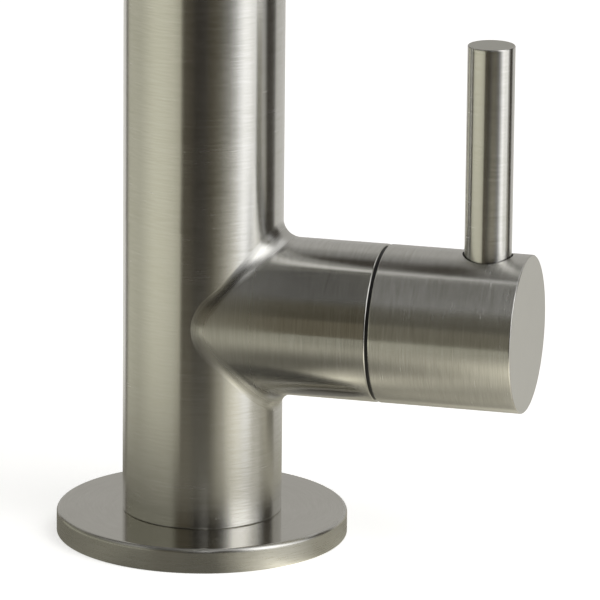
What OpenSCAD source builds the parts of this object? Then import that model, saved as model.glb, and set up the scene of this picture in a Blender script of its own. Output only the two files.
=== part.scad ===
// Deck-mounted pot filler: a round column with a side valve, and a double-jointed swinging arm.
// Origin: column axis, in the plane where the flange rests on the worktop. +Z is up.
// +X runs along the side valve to the handle. The arm points to the front, -Y, when at rest.

/* [Column] */
// Outer diameter of the column
column_d = 35; // [32:0.5:40]
// Wall of the column and of its side branch
column_wall = 3; // [2.5:0.25:3.5]
// Height of the fixed column's top above the worktop
column_top = 330; // [240:5:420]

/* [Base flange] */
// Outer diameter of the base flange
flange_d = 64; // [57:1:80]
// Thickness of the base flange
flange_t = 5.5; // [4:0.5:9]
// Radius of the rounded top edge of the flange
flange_round = 1; // [0.5:0.25:2.5]

/* [Side valve] */
// Height of the valve's axis above the worktop
valve_h = 50.6; // [47:0.1:90]
// How much smaller in radius the branch is than the column
branch_step = 0.25; // [0.1:0.05:1]
// Distance from the column's axis to the mouth of the branch
branch_l = 40.7; // [39.5:0.1:60]
// Radius of the blend between the column and the branch, above and below the branch
blend_r = 4; // [2:0.5:6]
// Width of the gap between the branch and the handle cap
cap_gap = 0.65; // [0.4:0.05:1.5]
// Length of the handle cap
cap_l = 31.4; // [28:0.2:50]
// Side wall of the handle cap
cap_wall = 3.2; // [2:0.1:4]
// End wall of the handle cap
cap_end_t = 3.2; // [2:0.1:4]

/* [Lever] */
// Diameter of the pin lever
lever_d = 10.3; // [8:0.1:12]
// Height of the lever's top above the valve's axis
lever_rise = 63.4; // [45:0.2:100]
// Distance from the cap's end to the lever's axis
lever_inset = 9.1; // [9:0.1:11]
// Radial gap between the lever and its hole in the cap
lever_gap = 0.35; // [0.1:0.05:0.6]

/* [Swivel head] */
// Height of the swivel head on top of the column
head_h = 44; // [44:0.5:60]
// Height of the bearing in the foot of the swivel head
head_bearing_h = 12; // [10:0.5:12]
// Wall of the swivel head
head_wall = 5; // [3:0.25:5.5]
// Diameter of the hollow stem that the head turns on
stem_d = 18; // [15:0.25:18]
// Bore of that stem
stem_bore = 12; // [8:0.25:12.5]

/* [Arms] */
// Outer diameter of both arm tubes
arm_d = 20; // [16:0.25:20]
// Wall of the arm tubes
arm_wall = 1.5; // [1:0.1:2.5]
// Distance from the column's axis to the knuckle's axis
upper_arm_l = 290; // [280:5:350]
// Distance from the knuckle's axis to the outlet's axis
lower_arm_l = 240; // [180:5:250]

/* [Knuckle] */
// Outer diameter of the knuckle
knuckle_d = 30; // [29:0.25:35]
// Height of each half of the knuckle
knuckle_h = 38; // [37:0.5:50]
// Side wall of the knuckle
knuckle_wall = 3.5; // [3:0.25:4]
// Thickness of the bearing floor in each half
knuckle_floor = 8; // [7.5:0.25:9]
// Diameter of the hollow stem that joins the halves
knuckle_stem_d = 16; // [14:0.25:17]
// Bore of that stem
knuckle_bore = 11; // [7:0.25:11]

/* [Outlet] */
// Outer diameter of the outlet
outlet_d = 26; // [25.5:0.25:32]
// Height of the outlet's top above the lower arm's axis
outlet_rise = 15; // [15:0.5:20]
// Length of the outlet from its top to its mouth
outlet_l = 60; // [56:1:90]
// Wall of the outlet round its waterway
outlet_wall = 2.8; // [2.5:0.1:3]
// Height of the screwed ring that holds the flow straightener
aerator_h = 10; // [6:0.5:12]

/* [Clamping] */
// Thickness of the worktop that is clamped
worktop_t = 40; // [10:1:60]
// Diameter of the threaded shank
shank_d = 24; // [20:0.5:25]
// Bore of the threaded shank
shank_bore = 17; // [12:0.5:17]
// Length of the shank inside the foot of the column
shank_grip = 15; // [12:0.5:16]
// Diameter of the thread for the supply hose, a G1/2
inlet_d = 20.96; // [16:0.02:24]
// Length of that thread
inlet_l = 14; // [10:1:20]

/* [Ceramic cartridge] */
// Depth of the cartridge's seat, from the column's axis
seat_x = 6; // [5.5:0.1:6.5]
// Diameter of the cartridge's nose
nose_d = 21; // [20:0.1:22]
// Diameter of the ceramic discs
disc_d = 16; // [15:0.1:16.5]
// Thickness of each ceramic disc
disc_t = 3; // [2:0.1:3.2]
// Diameter of the two water ports
port_d = 5.2; // [4:0.1:5.4]
// Distance from the valve's axis to each port
port_offset = 4.2; // [3.8:0.1:4.4]
// Diameter of the valve spindle
spindle_d = 8; // [6:0.1:8.5]

/* [Hidden] */
$fn = 96;

steel = "#aaa79b";
brass = "#b8a05a";
rubber = "#2b2b2b";
ceramic = "#ece9e0";
plastic = "#3a3a3c";

// Clearances and small sizes that several pieces use
thread_gap = 0.05;   // radial, between pieces that are screwed, pressed or brazed together
run_gap = 0.05;      // radial, between a stem or spindle and the bore it turns in
face_gap = 0.1;      // axial, between faces that turn on each other
touch = 0.02;        // between a seal and the walls it is squeezed by
groove_play = 0.2;   // on each side of a seal in its groove
over = 1;            // overrun of every cut
edge = 0.3;          // fine chamfer on turned edges
ring_recess = 0.6;   // how far the dark rings in the gaps lie below the steel
joint_gap = 0.65;    // height of the gap at each swivel
hole_gap = 0.3;      // radial, round the shank in loose pieces

// Column and branch
column_r = column_d / 2;
column_bore_r = column_r - column_wall;
branch_r = column_r - branch_step;
branch_bore_r = branch_r - column_wall;
foot_spare = 1;
foot_h = shank_grip + foot_spare;

// Blend between column and branch
blend_sink = 0.1;    // how far the rolling ball reaches into both walls, so that the edges are clean
blend_root = 1.2;
blend_nose = 14;     // how much larger the ball is at the front and the back, where the walls are flush
blend_nose_angle = 15;
full_turn = 360;
blend_steps = 72;
blend_cuts = 6;

// Handle
cap_x0 = branch_l + cap_gap;
cap_x1 = cap_x0 + cap_l;
cap_bore_r = branch_r - cap_wall;
cap_floor_x = cap_x1 - cap_end_t;
lever_r = lever_d / 2;
lever_x = cap_x1 - lever_inset;
lever_foot_h = 10;
lever_stud_d = 6;
hub_inset = 4;
hub_x0 = cap_x0 + hub_inset;
hub_x1 = cap_floor_x - thread_gap;
hub_r = cap_bore_r - thread_gap;

// Cartridge, from its seat outwards
port_seal_t = 2;
disc_x0 = seat_x + port_seal_t;
disc_x1 = disc_x0 + disc_t;
disc_x2 = disc_x1 + disc_t;
spindle_flange_t = 3;
chamber_x = disc_x2 + spindle_flange_t + face_gap;
chamber_gap = 0.1;
chamber_r = disc_d / 2 + chamber_gap;
nose_r = nose_d / 2;
collar_play = 0.75;
collar_x = column_bore_r + collar_play;
collar_l = 12;
collar_end_x = collar_x + collar_l;
collar_r = branch_bore_r - thread_gap;
neck_r = 8;
neck_l = 8;
neck_end_x = collar_end_x + neck_l;
cartridge_nut_l = 7;
spindle_r = spindle_d / 2;
spindle_past = 1.2;
spindle_end_x = lever_x + lever_stud_d / 2 + spindle_past;
flat_depth = 0.8;
flat_play = 0.5;
tongue_w = 4;
tongue_h = 1.2;
recess_h = 1.4;
spindle_seal_cs = 1.6;
spindle_seal_shares = [0.25, 0.6];

// Waterway core
core_half = 17;
core_r = column_bore_r - thread_gap;
core_seal_cs = 2.4;
core_seal_inset = 3;

// Dark rings in the gaps
glide_ring_w = 4;
glide_sleeve_l = 3;
glide_sleeve_w = 1.8;

// Swivel head
stem_r = stem_d / 2;
stem_plug_h = 14;
retainer_h = 4;
retainer_w = 2.5;
stem_tip = 1;
seal_cs = 2;
head_z0 = column_top + joint_gap;
head_z1 = head_z0 + head_h;
head_bearing_z = head_z0 + head_bearing_h;
head_cavity_r = column_r - head_wall;
head_cap_t = 4;
head_spigot = 4;
stem_top = head_bearing_z + face_gap + retainer_h + stem_tip;
plug_seal_z = column_top - stem_plug_h / 2;
head_seal_shares = [0.3, 0.7];

// Arms
arm_r = arm_d / 2;
upper_z = head_z0 + head_h / 2;
knuckle_r = knuckle_d / 2;
knuckle_cavity_r = knuckle_r - knuckle_wall;
knuckle_z = upper_z - knuckle_h / 2;
lower_top_z = knuckle_z - joint_gap;
lower_z = lower_top_z - knuckle_h / 2;
knuckle_cap_t = 3;
knuckle_spigot = 3;
knuckle_stem_r = knuckle_stem_d / 2;
knuckle_head_t = 2;
knuckle_head_w = 3;
knuckle_stem_top = knuckle_z + knuckle_floor + knuckle_head_t;
knuckle_stem_end = lower_top_z - knuckle_floor - face_gap - retainer_h - stem_tip;
knuckle_seal_cs = 1.8;
knuckle_y = -upper_arm_l;
outlet_y = -upper_arm_l - lower_arm_l;

// Outlet
outlet_r = outlet_d / 2;
outlet_bore_r = outlet_r - outlet_wall;
outlet_top_t = 4;
outlet_top_z = lower_z + outlet_rise;
outlet_mouth_z = outlet_top_z - outlet_l;
aerator_z = outlet_mouth_z + aerator_h;
aerator_spigot = 6;
aerator_step = 0.8;
aerator_seat_r = outlet_bore_r + aerator_step;
aerator_seal_t = 2;
aerator_wall = 1.6;
aerator_lip_t = 2;
aerator_lip_w = 0.8;
aerator_insert_h = 9;
aerator_hole_d = 1.5;
aerator_pitch = 2.4;
aerator_rows = 3;

// Flange and clamping
flange_r = flange_d / 2;
shank_r = shank_d / 2;
flange_seal_r = 26.5;
flange_seal_w = 3.5;
flange_seal_h = 1.6;
shank_seal_cs = 1.8;
shank_seal_drop = 3;
deck_washer_t = 3;
deck_washer_r = 24;
clamp_washer_t = 2;
clamp_washer_r = 23;
lock_nut_h = 8;
lock_nut_flats = 36;
shank_spare = 12;
clamp_z = -worktop_t - deck_washer_t;
nut_top_z = clamp_z - clamp_washer_t;
shank_end_z = nut_top_z - lock_nut_h - shank_spare;
shank_top_z = flange_t + shank_grip;
nipple_spigot = 12;
nipple_hex_h = 6;
nipple_hex_flats = 24;
nipple_bore = 10;
inlet_seal_t = 1.5;
nipple_z = shank_end_z - inlet_seal_t;
inlet_end_z = nipple_z - nipple_hex_h - inlet_l;

// A turned piece: the profile is a list of [radius, height] points
module turned(profile) {
    rotate_extrude() polygon(profile);
}

// A plain ring between two radii, from height z0 to z1
module ring(r_out, r_in, z0, z1) {
    turned([[r_in, z0], [r_out, z0], [r_out, z1], [r_in, z1]]);
}

// A seal of round section that fills the groove under a bore
module seal(bore_r, cs, z) {
    translate([0, 0, z]) rotate_extrude() translate([bore_r - touch - cs / 2, 0]) circle(d = cs, $fn = 32);
}

// The groove for such a seal, cut into a stem
module seal_groove(bore_r, cs, z) {
    half = cs / 2 + groove_play;
    ring(bore_r + over, bore_r - cs - 2 * touch, z - half, z + half);
}

// Height runs along the valve's axis, to +X
module along_valve() {
    translate([0, 0, valve_h]) rotate([0, 90, 0]) children();
}

// Height runs to the front, -Y
module to_front(y, z) {
    translate([0, y, z]) rotate([90, 0, 0]) children();
}

// Radius of a ball that rolls round the junction; t is 0 above the branch and 90 at its side
function ball_r(t) = blend_r + blend_nose * exp(-pow((t % 180 - 90) / blend_nose_angle, 2));

// Centre of that ball, where it touches column and branch
function ball_centre(t) =
    let (reach = branch_r + ball_r(t), y = reach * sin(t))
    [sqrt(pow(column_r + ball_r(t), 2) - y * y), y, reach * cos(t)];

function to_column(t) =
    let (c = ball_centre(t), share = column_r / (column_r + ball_r(t))) [c.x * share, c.y * share, c.z];

function to_branch(t) =
    let (c = ball_centre(t), share = branch_r / (branch_r + ball_r(t))) [c.x, c.y * share, c.z * share];

// A point of the blend: t goes round the junction, u from the column to the branch
function blend_point(t, u) =
    let (c = ball_centre(t), a = to_column(t) - c, b = to_branch(t) - c,
         turn = acos((a * b) / pow(ball_r(t), 2)))
    c + (1 + blend_sink / ball_r(t)) * (sin((1 - u) * turn) * a + sin(u * turn) * b) / sin(turn);

// One section of the blend, closed inside the two walls
function blend_section(t) =
    let (p = blend_point(t, 0), q = blend_point(t, 1),
         p_share = 1 - blend_root / column_r, q_share = 1 - blend_root / branch_r,
         deep_p = [p.x * p_share, p.y * p_share, p.z],
         deep_q = [q.x, q.y * q_share, q.z * q_share])
    [for (k = [0:blend_cuts]) blend_point(t, k / blend_cuts),
     deep_q, [deep_p.x, deep_q.y, deep_q.z], deep_p];

// The blend as a closed ring of sections
module branch_blend() {
    n = blend_cuts + 4;
    points = [for (i = [0:blend_steps - 1]) each blend_section(full_turn * i / blend_steps)];
    faces = [for (i = [0:blend_steps - 1]) for (k = [0:n - 1])
        let (next_k = (k + 1) % n, here = i * n, there = ((i + 1) % blend_steps) * n)
        each [[here + k, here + next_k, there + next_k], [here + k, there + next_k, there + k]]];
    translate([0, 0, valve_h]) polyhedron(points, faces);
}

// Column with its side branch, one welded and ground piece
module column_body() {
    color(steel) difference() {
        union() {
            ring(column_r, shank_r + thread_gap, flange_t, column_top);
            along_valve() cylinder(r = branch_r, h = branch_l);
            branch_blend();
        }
        translate([0, 0, flange_t + foot_h]) cylinder(r = column_bore_r, h = column_top);
        along_valve() cylinder(r = branch_bore_r, h = branch_l + over);
    }
}

module base_flange() {
    color(steel) difference() {
        rotate_extrude() {
            difference() {
                union() {
                    square([flange_r, flange_t - flange_round]);
                    square([flange_r - flange_round, flange_t]);
                    translate([flange_r - flange_round, flange_t - flange_round])
                        circle(r = flange_round, $fn = 48);
                }
                square([shank_r + hole_gap, flange_t]);
            }
        }
        ring(flange_seal_r, flange_seal_r - flange_seal_w, -over, flange_seal_h);
    }
}

// Soft ring in the flange's underside that seals it to the worktop
module flange_seal() {
    color(rubber)
        ring(flange_seal_r - thread_gap, flange_seal_r - flange_seal_w + thread_gap, 0, flange_seal_h - touch);
}

// Hollow threaded rod that carries the water up and clamps the tap to the worktop
module threaded_shank() {
    color(steel) difference() {
        ring(shank_r, shank_bore / 2, shank_end_z, shank_top_z);
        seal_groove(shank_r + thread_gap, shank_seal_cs, shank_top_z - shank_seal_drop);
    }
}

module shank_seal() {
    color(rubber) seal(shank_r + thread_gap, shank_seal_cs, shank_top_z - shank_seal_drop);
}

module deck_washer() {
    color(rubber) ring(deck_washer_r, shank_r + hole_gap, clamp_z, -worktop_t);
}

module clamp_washer() {
    color(steel) ring(clamp_washer_r, shank_r + hole_gap, nut_top_z, clamp_z);
}

module lock_nut() {
    color(brass) translate([0, 0, nut_top_z - lock_nut_h]) difference() {
        cylinder(d = lock_nut_flats / cos(30), h = lock_nut_h, $fn = 6);
        translate([0, 0, -over]) cylinder(r = shank_r + thread_gap, h = lock_nut_h + 2 * over);
    }
}

// Inlet fitting: a spigot in the shank, a hexagon and the thread for the supply hose
module inlet_nipple() {
    color(brass) difference() {
        union() {
            translate([0, 0, nipple_z - over])
                cylinder(r = shank_bore / 2 - thread_gap, h = nipple_spigot + inlet_seal_t + over);
            translate([0, 0, nipple_z - nipple_hex_h])
                cylinder(d = nipple_hex_flats / cos(30), h = nipple_hex_h, $fn = 6);
            turned([[0, inlet_end_z], [inlet_d / 2 - edge, inlet_end_z], [inlet_d / 2, inlet_end_z + edge],
                    [inlet_d / 2, nipple_z - over], [0, nipple_z - over]]);
        }
        translate([0, 0, inlet_end_z - over])
            cylinder(d = nipple_bore, h = nipple_spigot + inlet_seal_t + nipple_hex_h + inlet_l + 2 * over);
    }
}

module inlet_seal() {
    color(rubber) ring(nipple_hex_flats / 2 - edge, shank_bore / 2 + thread_gap, nipple_z, shank_end_z);
}

// Block in the column that leads the water out to the ceramic discs and back
module waterway_core() {
    color(brass) translate([0, 0, valve_h]) difference() {
        translate([0, 0, -core_half]) cylinder(r = core_r, h = 2 * core_half);
        rotate([0, 90, 0]) translate([0, 0, seat_x]) cylinder(r = nose_r, h = column_r);
        for (side = [-1, 1]) {
            translate([0, 0, side * port_offset]) rotate([0, 90, 0]) cylinder(d = port_d, h = seat_x + over);
            translate([0, 0, side * port_offset]) sphere(d = port_d);
            translate([0, 0, side * (port_offset + core_half + over) / 2])
                cylinder(d = port_d, h = core_half + over - port_offset, center = true);
            seal_groove(column_bore_r, core_seal_cs, side * (core_half - core_seal_inset));
        }
    }
}

module core_seals() {
    color(rubber) for (side = [-1, 1])
        seal(column_bore_r, core_seal_cs, valve_h + side * (core_half - core_seal_inset));
}

// Pair of water ports, through a plate that starts at x
module port_pair(x, h) {
    for (side = [-1, 1])
        translate([side * port_offset, 0, x - over]) cylinder(d = port_d, h = h + 2 * over);
}

// Brass housing of the ceramic cartridge: nose, collar and neck
module cartridge_body() {
    color(brass) along_valve() turned([
        [chamber_r, seat_x + thread_gap], [nose_r - thread_gap, seat_x + thread_gap],
        [nose_r - thread_gap, collar_x], [collar_r, collar_x], [collar_r, collar_end_x],
        [neck_r, collar_end_x], [neck_r, neck_end_x], [spindle_r + run_gap, neck_end_x],
        [spindle_r + run_gap, chamber_x], [chamber_r, chamber_x]]);
}

module port_seal() {
    color(rubber) along_valve() difference() {
        translate([0, 0, seat_x]) cylinder(d = disc_d, h = port_seal_t);
        port_pair(seat_x, port_seal_t);
    }
}

module fixed_disc() {
    color(ceramic) along_valve() difference() {
        translate([0, 0, disc_x0]) cylinder(d = disc_d, h = disc_t);
        port_pair(disc_x0, disc_t);
    }
}

// Turning disc: its long recess lies across the ports when shut and joins them when open
module moving_disc() {
    color(ceramic) along_valve() difference() {
        translate([0, 0, disc_x1]) cylinder(d = disc_d, h = disc_t);
        for (side = [-1, 1])
            translate([0, side * port_offset, disc_x1 - over]) cylinder(d = port_d, h = recess_h + over);
        translate([-port_d / 2, -port_offset, disc_x1 - over]) cube([port_d, 2 * port_offset, recess_h + over]);
        translate([-disc_d, -tongue_w / 2, disc_x2 - tongue_h]) cube([2 * disc_d, tongue_w, tongue_h + over]);
    }
}

// Spindle with the flange and tongue that turn the disc, and a flat for the lever's stud
module spindle() {
    color(brass) along_valve() difference() {
        union() {
            translate([0, 0, disc_x2]) cylinder(d = disc_d, h = spindle_flange_t);
            intersection() {
                translate([-disc_d, -tongue_w / 2 + thread_gap, disc_x2 - tongue_h + thread_gap])
                    cube([2 * disc_d, tongue_w - 2 * thread_gap, tongue_h]);
                translate([0, 0, disc_x2 - tongue_h]) cylinder(d = disc_d, h = 2 * tongue_h);
            }
            translate([0, 0, disc_x2]) cylinder(r = spindle_r, h = spindle_end_x - disc_x2);
        }
        translate([-spindle_r - flat_depth, -spindle_r - over, lever_x - lever_stud_d / 2 - flat_play])
            cube([2 * flat_depth, 2 * (spindle_r + over), lever_stud_d + 2 * flat_play]);
        for (share = spindle_seal_shares) seal_groove(spindle_r + run_gap, spindle_seal_cs, spindle_seal_x(share));
    }
}

function spindle_seal_x(share) = chamber_x + share * (neck_end_x - chamber_x);

module spindle_seals() {
    color(rubber) along_valve() for (share = spindle_seal_shares)
        seal(spindle_r + run_gap, spindle_seal_cs, spindle_seal_x(share));
}

// Ring nut in the branch that holds the cartridge in
module cartridge_nut() {
    color(brass) along_valve()
        ring(collar_r, neck_r + thread_gap, collar_end_x, collar_end_x + cartridge_nut_l);
}

// Dark ring in the gap between branch and cap, with a sleeve in the branch
module glide_ring() {
    color(plastic) along_valve() turned([
        [collar_r - glide_sleeve_w, branch_l - glide_sleeve_l], [collar_r, branch_l - glide_sleeve_l],
        [collar_r, branch_l], [branch_r - ring_recess, branch_l],
        [branch_r - ring_recess, cap_x0 - face_gap], [collar_r - glide_sleeve_w, cap_x0 - face_gap]]);
}

// Handle cap: a cup that carries on the line of the branch
module handle_cap() {
    color(steel) difference() {
        along_valve() turned([
            [0, cap_floor_x], [cap_bore_r, cap_floor_x], [cap_bore_r, cap_x0], [branch_r, cap_x0],
            [branch_r, cap_x1 - edge], [branch_r - edge, cap_x1], [0, cap_x1]]);
        translate([lever_x, 0, valve_h]) cylinder(r = lever_r + lever_gap, h = branch_r + over);
    }
}

// Carrier inside the cap, fixed on the spindle; the lever's stud screws into it
module handle_hub() {
    color(brass) difference() {
        along_valve() translate([0, 0, hub_x0]) cylinder(r = hub_r, h = hub_x1 - hub_x0);
        along_valve() translate([0, 0, hub_x0 - over])
            cylinder(r = spindle_r + thread_gap, h = spindle_end_x + thread_gap - hub_x0 + over);
        translate([lever_x, 0, valve_h]) {
            cylinder(d = lever_stud_d + 2 * thread_gap, h = branch_r);
            translate([0, 0, lever_foot_h]) cylinder(r = lever_r + thread_gap, h = branch_r);
        }
    }
}

// Pin lever with a threaded stud at its foot
module lever() {
    color(steel) translate([lever_x, 0, valve_h]) turned([
        [0, spindle_r - flat_depth + touch], [lever_stud_d / 2, spindle_r - flat_depth + touch],
        [lever_stud_d / 2, lever_foot_h], [lever_r, lever_foot_h],
        [lever_r, lever_rise - edge], [lever_r - edge, lever_rise], [0, lever_rise]]);
}

// Hollow stem screwed into the top of the column, which the head turns on
module swivel_stem() {
    color(brass) difference() {
        turned([
            [stem_bore / 2, column_top - stem_plug_h], [column_bore_r - thread_gap, column_top - stem_plug_h],
            [column_bore_r - thread_gap, column_top], [stem_r, column_top],
            [stem_r, stem_top], [stem_bore / 2, stem_top]]);
        seal_groove(column_bore_r, seal_cs, plug_seal_z);
        for (share = head_seal_shares) seal_groove(stem_r + run_gap, seal_cs, head_seal_z(share));
    }
}

function head_seal_z(share) = head_z0 + share * head_bearing_h;

module swivel_seals() {
    color(rubber) {
        seal(column_bore_r, seal_cs, plug_seal_z);
        for (share = head_seal_shares) seal(stem_r + run_gap, seal_cs, head_seal_z(share));
    }
}

module swivel_ring() {
    color(plastic) ring(column_r - ring_recess, column_r - glide_ring_w, column_top, head_z0 - face_gap);
}

// Ring nut on the stem that keeps the head from lifting off
module swivel_retainer() {
    color(brass) ring(stem_r + retainer_w, stem_r + thread_gap,
        head_bearing_z + face_gap, head_bearing_z + face_gap + retainer_h);
}

// Housing that turns on the stem and holds the upper arm
module swivel_head() {
    color(steel) difference() {
        turned([
            [stem_r + run_gap, head_z0], [column_r, head_z0], [column_r, head_z1 - head_cap_t],
            [head_cavity_r, head_z1 - head_cap_t], [head_cavity_r, head_bearing_z],
            [stem_r + run_gap, head_bearing_z]]);
        to_front(0, upper_z) cylinder(r = arm_r + thread_gap, h = column_r + over);
    }
}

// Disc with a spigot that closes a housing of radius r and cavity radius bore_r; it looks up
module closing_cap(r, bore_r, t, spigot, cs) {
    difference() {
        turned([
            [0, -spigot], [bore_r - thread_gap, -spigot], [bore_r - thread_gap, 0], [r, 0],
            [r, t - edge], [r - edge, t], [0, t]]);
        seal_groove(bore_r, cs, -spigot / 2);
    }
}

module head_cap() {
    color(steel) translate([0, 0, head_z1 - head_cap_t])
        closing_cap(column_r, head_cavity_r, head_cap_t, head_spigot, seal_cs);
}

module head_cap_seal() {
    color(rubber) seal(head_cavity_r, seal_cs, head_z1 - head_cap_t - head_spigot / 2);
}

// Arm tube between two upright housings, its ends cut to the shape of their bores
module arm_tube(y0, bore0_r, y1, bore1_r, z) {
    difference() {
        to_front(y0, z) ring(arm_r, arm_r - arm_wall, 0, y0 - y1);
        for (end = [[y0, bore0_r], [y1, bore1_r]])
            translate([0, end[0], z - arm_r - over]) cylinder(r = end[1], h = 2 * (arm_r + over));
    }
}

module upper_arm_tube() {
    color(steel) arm_tube(0, head_cavity_r, knuckle_y, knuckle_cavity_r, upper_z);
}

// Upper half of the knuckle, at the end of the upper arm
module knuckle_upper() {
    color(steel) difference() {
        translate([0, knuckle_y, 0]) turned([
            [knuckle_stem_r + thread_gap, knuckle_z], [knuckle_r, knuckle_z],
            [knuckle_r, knuckle_z + knuckle_h - knuckle_cap_t],
            [knuckle_cavity_r, knuckle_z + knuckle_h - knuckle_cap_t],
            [knuckle_cavity_r, knuckle_z + knuckle_floor],
            [knuckle_stem_r + thread_gap, knuckle_z + knuckle_floor]]);
        to_front(knuckle_y + knuckle_r + over, upper_z) cylinder(r = arm_r + thread_gap, h = knuckle_r + over);
    }
}

module knuckle_cap() {
    color(steel) translate([0, knuckle_y, knuckle_z + knuckle_h - knuckle_cap_t])
        closing_cap(knuckle_r, knuckle_cavity_r, knuckle_cap_t, knuckle_spigot, knuckle_seal_cs);
}

module knuckle_cap_seal() {
    color(rubber) translate([0, knuckle_y, knuckle_z + knuckle_h - knuckle_cap_t])
        seal(knuckle_cavity_r, knuckle_seal_cs, -knuckle_spigot / 2);
}

// Heights of the three seals on the knuckle's stem
knuckle_seal_heights = [
    knuckle_z + knuckle_floor / 2,
    lower_top_z - knuckle_floor * head_seal_shares[0],
    lower_top_z - knuckle_floor * head_seal_shares[1]
];

// Hollow bolt through both halves, which carries the water down
module knuckle_stem() {
    color(brass) translate([0, knuckle_y, 0]) difference() {
        turned([
            [knuckle_bore / 2, knuckle_stem_end], [knuckle_stem_r, knuckle_stem_end],
            [knuckle_stem_r, knuckle_z + knuckle_floor],
            [knuckle_stem_r + knuckle_head_w, knuckle_z + knuckle_floor],
            [knuckle_stem_r + knuckle_head_w, knuckle_stem_top], [knuckle_bore / 2, knuckle_stem_top]]);
        for (z = knuckle_seal_heights) seal_groove(knuckle_stem_r + run_gap, knuckle_seal_cs, z);
    }
}

module knuckle_seals() {
    color(rubber) translate([0, knuckle_y, 0])
        for (z = knuckle_seal_heights) seal(knuckle_stem_r + run_gap, knuckle_seal_cs, z);
}

module knuckle_ring() {
    color(plastic) translate([0, knuckle_y, 0])
        ring(knuckle_r - ring_recess, knuckle_r - glide_ring_w, lower_top_z + face_gap, knuckle_z);
}

module knuckle_retainer() {
    color(brass) translate([0, knuckle_y, 0])
        ring(knuckle_stem_r + retainer_w, knuckle_stem_r + thread_gap,
            lower_top_z - knuckle_floor - face_gap - retainer_h, lower_top_z - knuckle_floor - face_gap);
}

// Lower half of the knuckle, which turns on the stem
module knuckle_lower() {
    color(steel) difference() {
        translate([0, knuckle_y, 0]) turned([
            [knuckle_stem_r + run_gap, lower_top_z], [knuckle_r, lower_top_z],
            [knuckle_r, lower_top_z - knuckle_h + knuckle_cap_t],
            [knuckle_cavity_r, lower_top_z - knuckle_h + knuckle_cap_t],
            [knuckle_cavity_r, lower_top_z - knuckle_floor],
            [knuckle_stem_r + run_gap, lower_top_z - knuckle_floor]]);
        to_front(knuckle_y, lower_z) cylinder(r = arm_r + thread_gap, h = knuckle_r + over);
    }
}

module knuckle_base() {
    color(steel) translate([0, knuckle_y, lower_top_z - knuckle_h + knuckle_cap_t]) mirror([0, 0, 1])
        closing_cap(knuckle_r, knuckle_cavity_r, knuckle_cap_t, knuckle_spigot, knuckle_seal_cs);
}

module knuckle_base_seal() {
    color(rubber) translate([0, knuckle_y, lower_top_z - knuckle_h + knuckle_cap_t])
        seal(knuckle_cavity_r, knuckle_seal_cs, knuckle_spigot / 2);
}

module lower_arm_tube() {
    color(steel) arm_tube(knuckle_y, knuckle_cavity_r, outlet_y, outlet_bore_r, lower_z);
}

// Upright outlet, closed at the top and bored from below
module outlet_body() {
    color(steel) difference() {
        translate([0, outlet_y, 0]) turned([
            [0, outlet_top_z - outlet_top_t], [outlet_bore_r, outlet_top_z - outlet_top_t],
            [outlet_bore_r, aerator_z + aerator_spigot + aerator_seal_t],
            [aerator_seat_r, aerator_z + aerator_spigot + aerator_seal_t], [aerator_seat_r, aerator_z],
            [outlet_r, aerator_z], [outlet_r, outlet_top_z - edge], [outlet_r - edge, outlet_top_z],
            [0, outlet_top_z]]);
        to_front(outlet_y + outlet_r + over, lower_z) cylinder(r = arm_r + thread_gap, h = outlet_r + over);
    }
}

module aerator_seal() {
    color(rubber) translate([0, outlet_y, aerator_z + aerator_spigot])
        ring(aerator_seat_r - thread_gap, aerator_seat_r - aerator_wall - aerator_lip_w, 0, aerator_seal_t);
}

// Screwed ring at the mouth, flush with the outlet
module aerator_housing() {
    spigot_r = aerator_seat_r - thread_gap;
    bore_r = spigot_r - aerator_wall;
    color(steel) translate([0, outlet_y, outlet_mouth_z]) turned([
        [bore_r - aerator_lip_w, 0], [outlet_r - edge, 0], [outlet_r, edge], [outlet_r, aerator_h],
        [spigot_r, aerator_h], [spigot_r, aerator_h + aerator_spigot], [bore_r, aerator_h + aerator_spigot],
        [bore_r, aerator_lip_t], [bore_r - aerator_lip_w, aerator_lip_t]]);
}

// Honeycomb that straightens the flow
module aerator_insert() {
    insert_r = aerator_seat_r - 2 * thread_gap - aerator_wall;
    color(plastic) translate([0, outlet_y, outlet_mouth_z + aerator_lip_t]) difference() {
        cylinder(r = insert_r, h = aerator_insert_h);
        translate([0, 0, -over]) for (row = [0:aerator_rows], k = [0:max(6 * row, 1) - 1])
            rotate([0, 0, 360 * k / max(6 * row, 1)]) translate([row * aerator_pitch, 0, 0])
                cylinder(d = aerator_hole_d, h = aerator_insert_h + 2 * over, $fn = 24);
    }
}

column_body();
base_flange();
flange_seal();
threaded_shank();
shank_seal();
deck_washer();
clamp_washer();
lock_nut();
inlet_nipple();
inlet_seal();
waterway_core();
core_seals();
cartridge_body();
port_seal();
fixed_disc();
cartridge_nut();
glide_ring();
swivel_stem();
swivel_seals();
swivel_ring();
swivel_retainer();
handle_cap();
lever();
handle_hub();
spindle();
moving_disc();
spindle_seals();
swivel_head();
head_cap();
head_cap_seal();
upper_arm_tube();
knuckle_upper();
knuckle_cap();
knuckle_cap_seal();
knuckle_stem();
knuckle_seals();
knuckle_ring();
knuckle_retainer();
knuckle_lower();
knuckle_base();
knuckle_base_seal();
lower_arm_tube();
outlet_body();
aerator_seal();
aerator_insert();
aerator_housing();
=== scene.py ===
# %% [markdown]
# # A pot filler in brushed stainless steel
# The tap is a family of round pieces: a column on a flange, a side valve with a pin lever, and two
# swinging arms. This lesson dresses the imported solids. Every shell that shows is worked out again as
# a smooth surface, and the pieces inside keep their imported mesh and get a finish.

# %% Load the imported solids
import math

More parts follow.
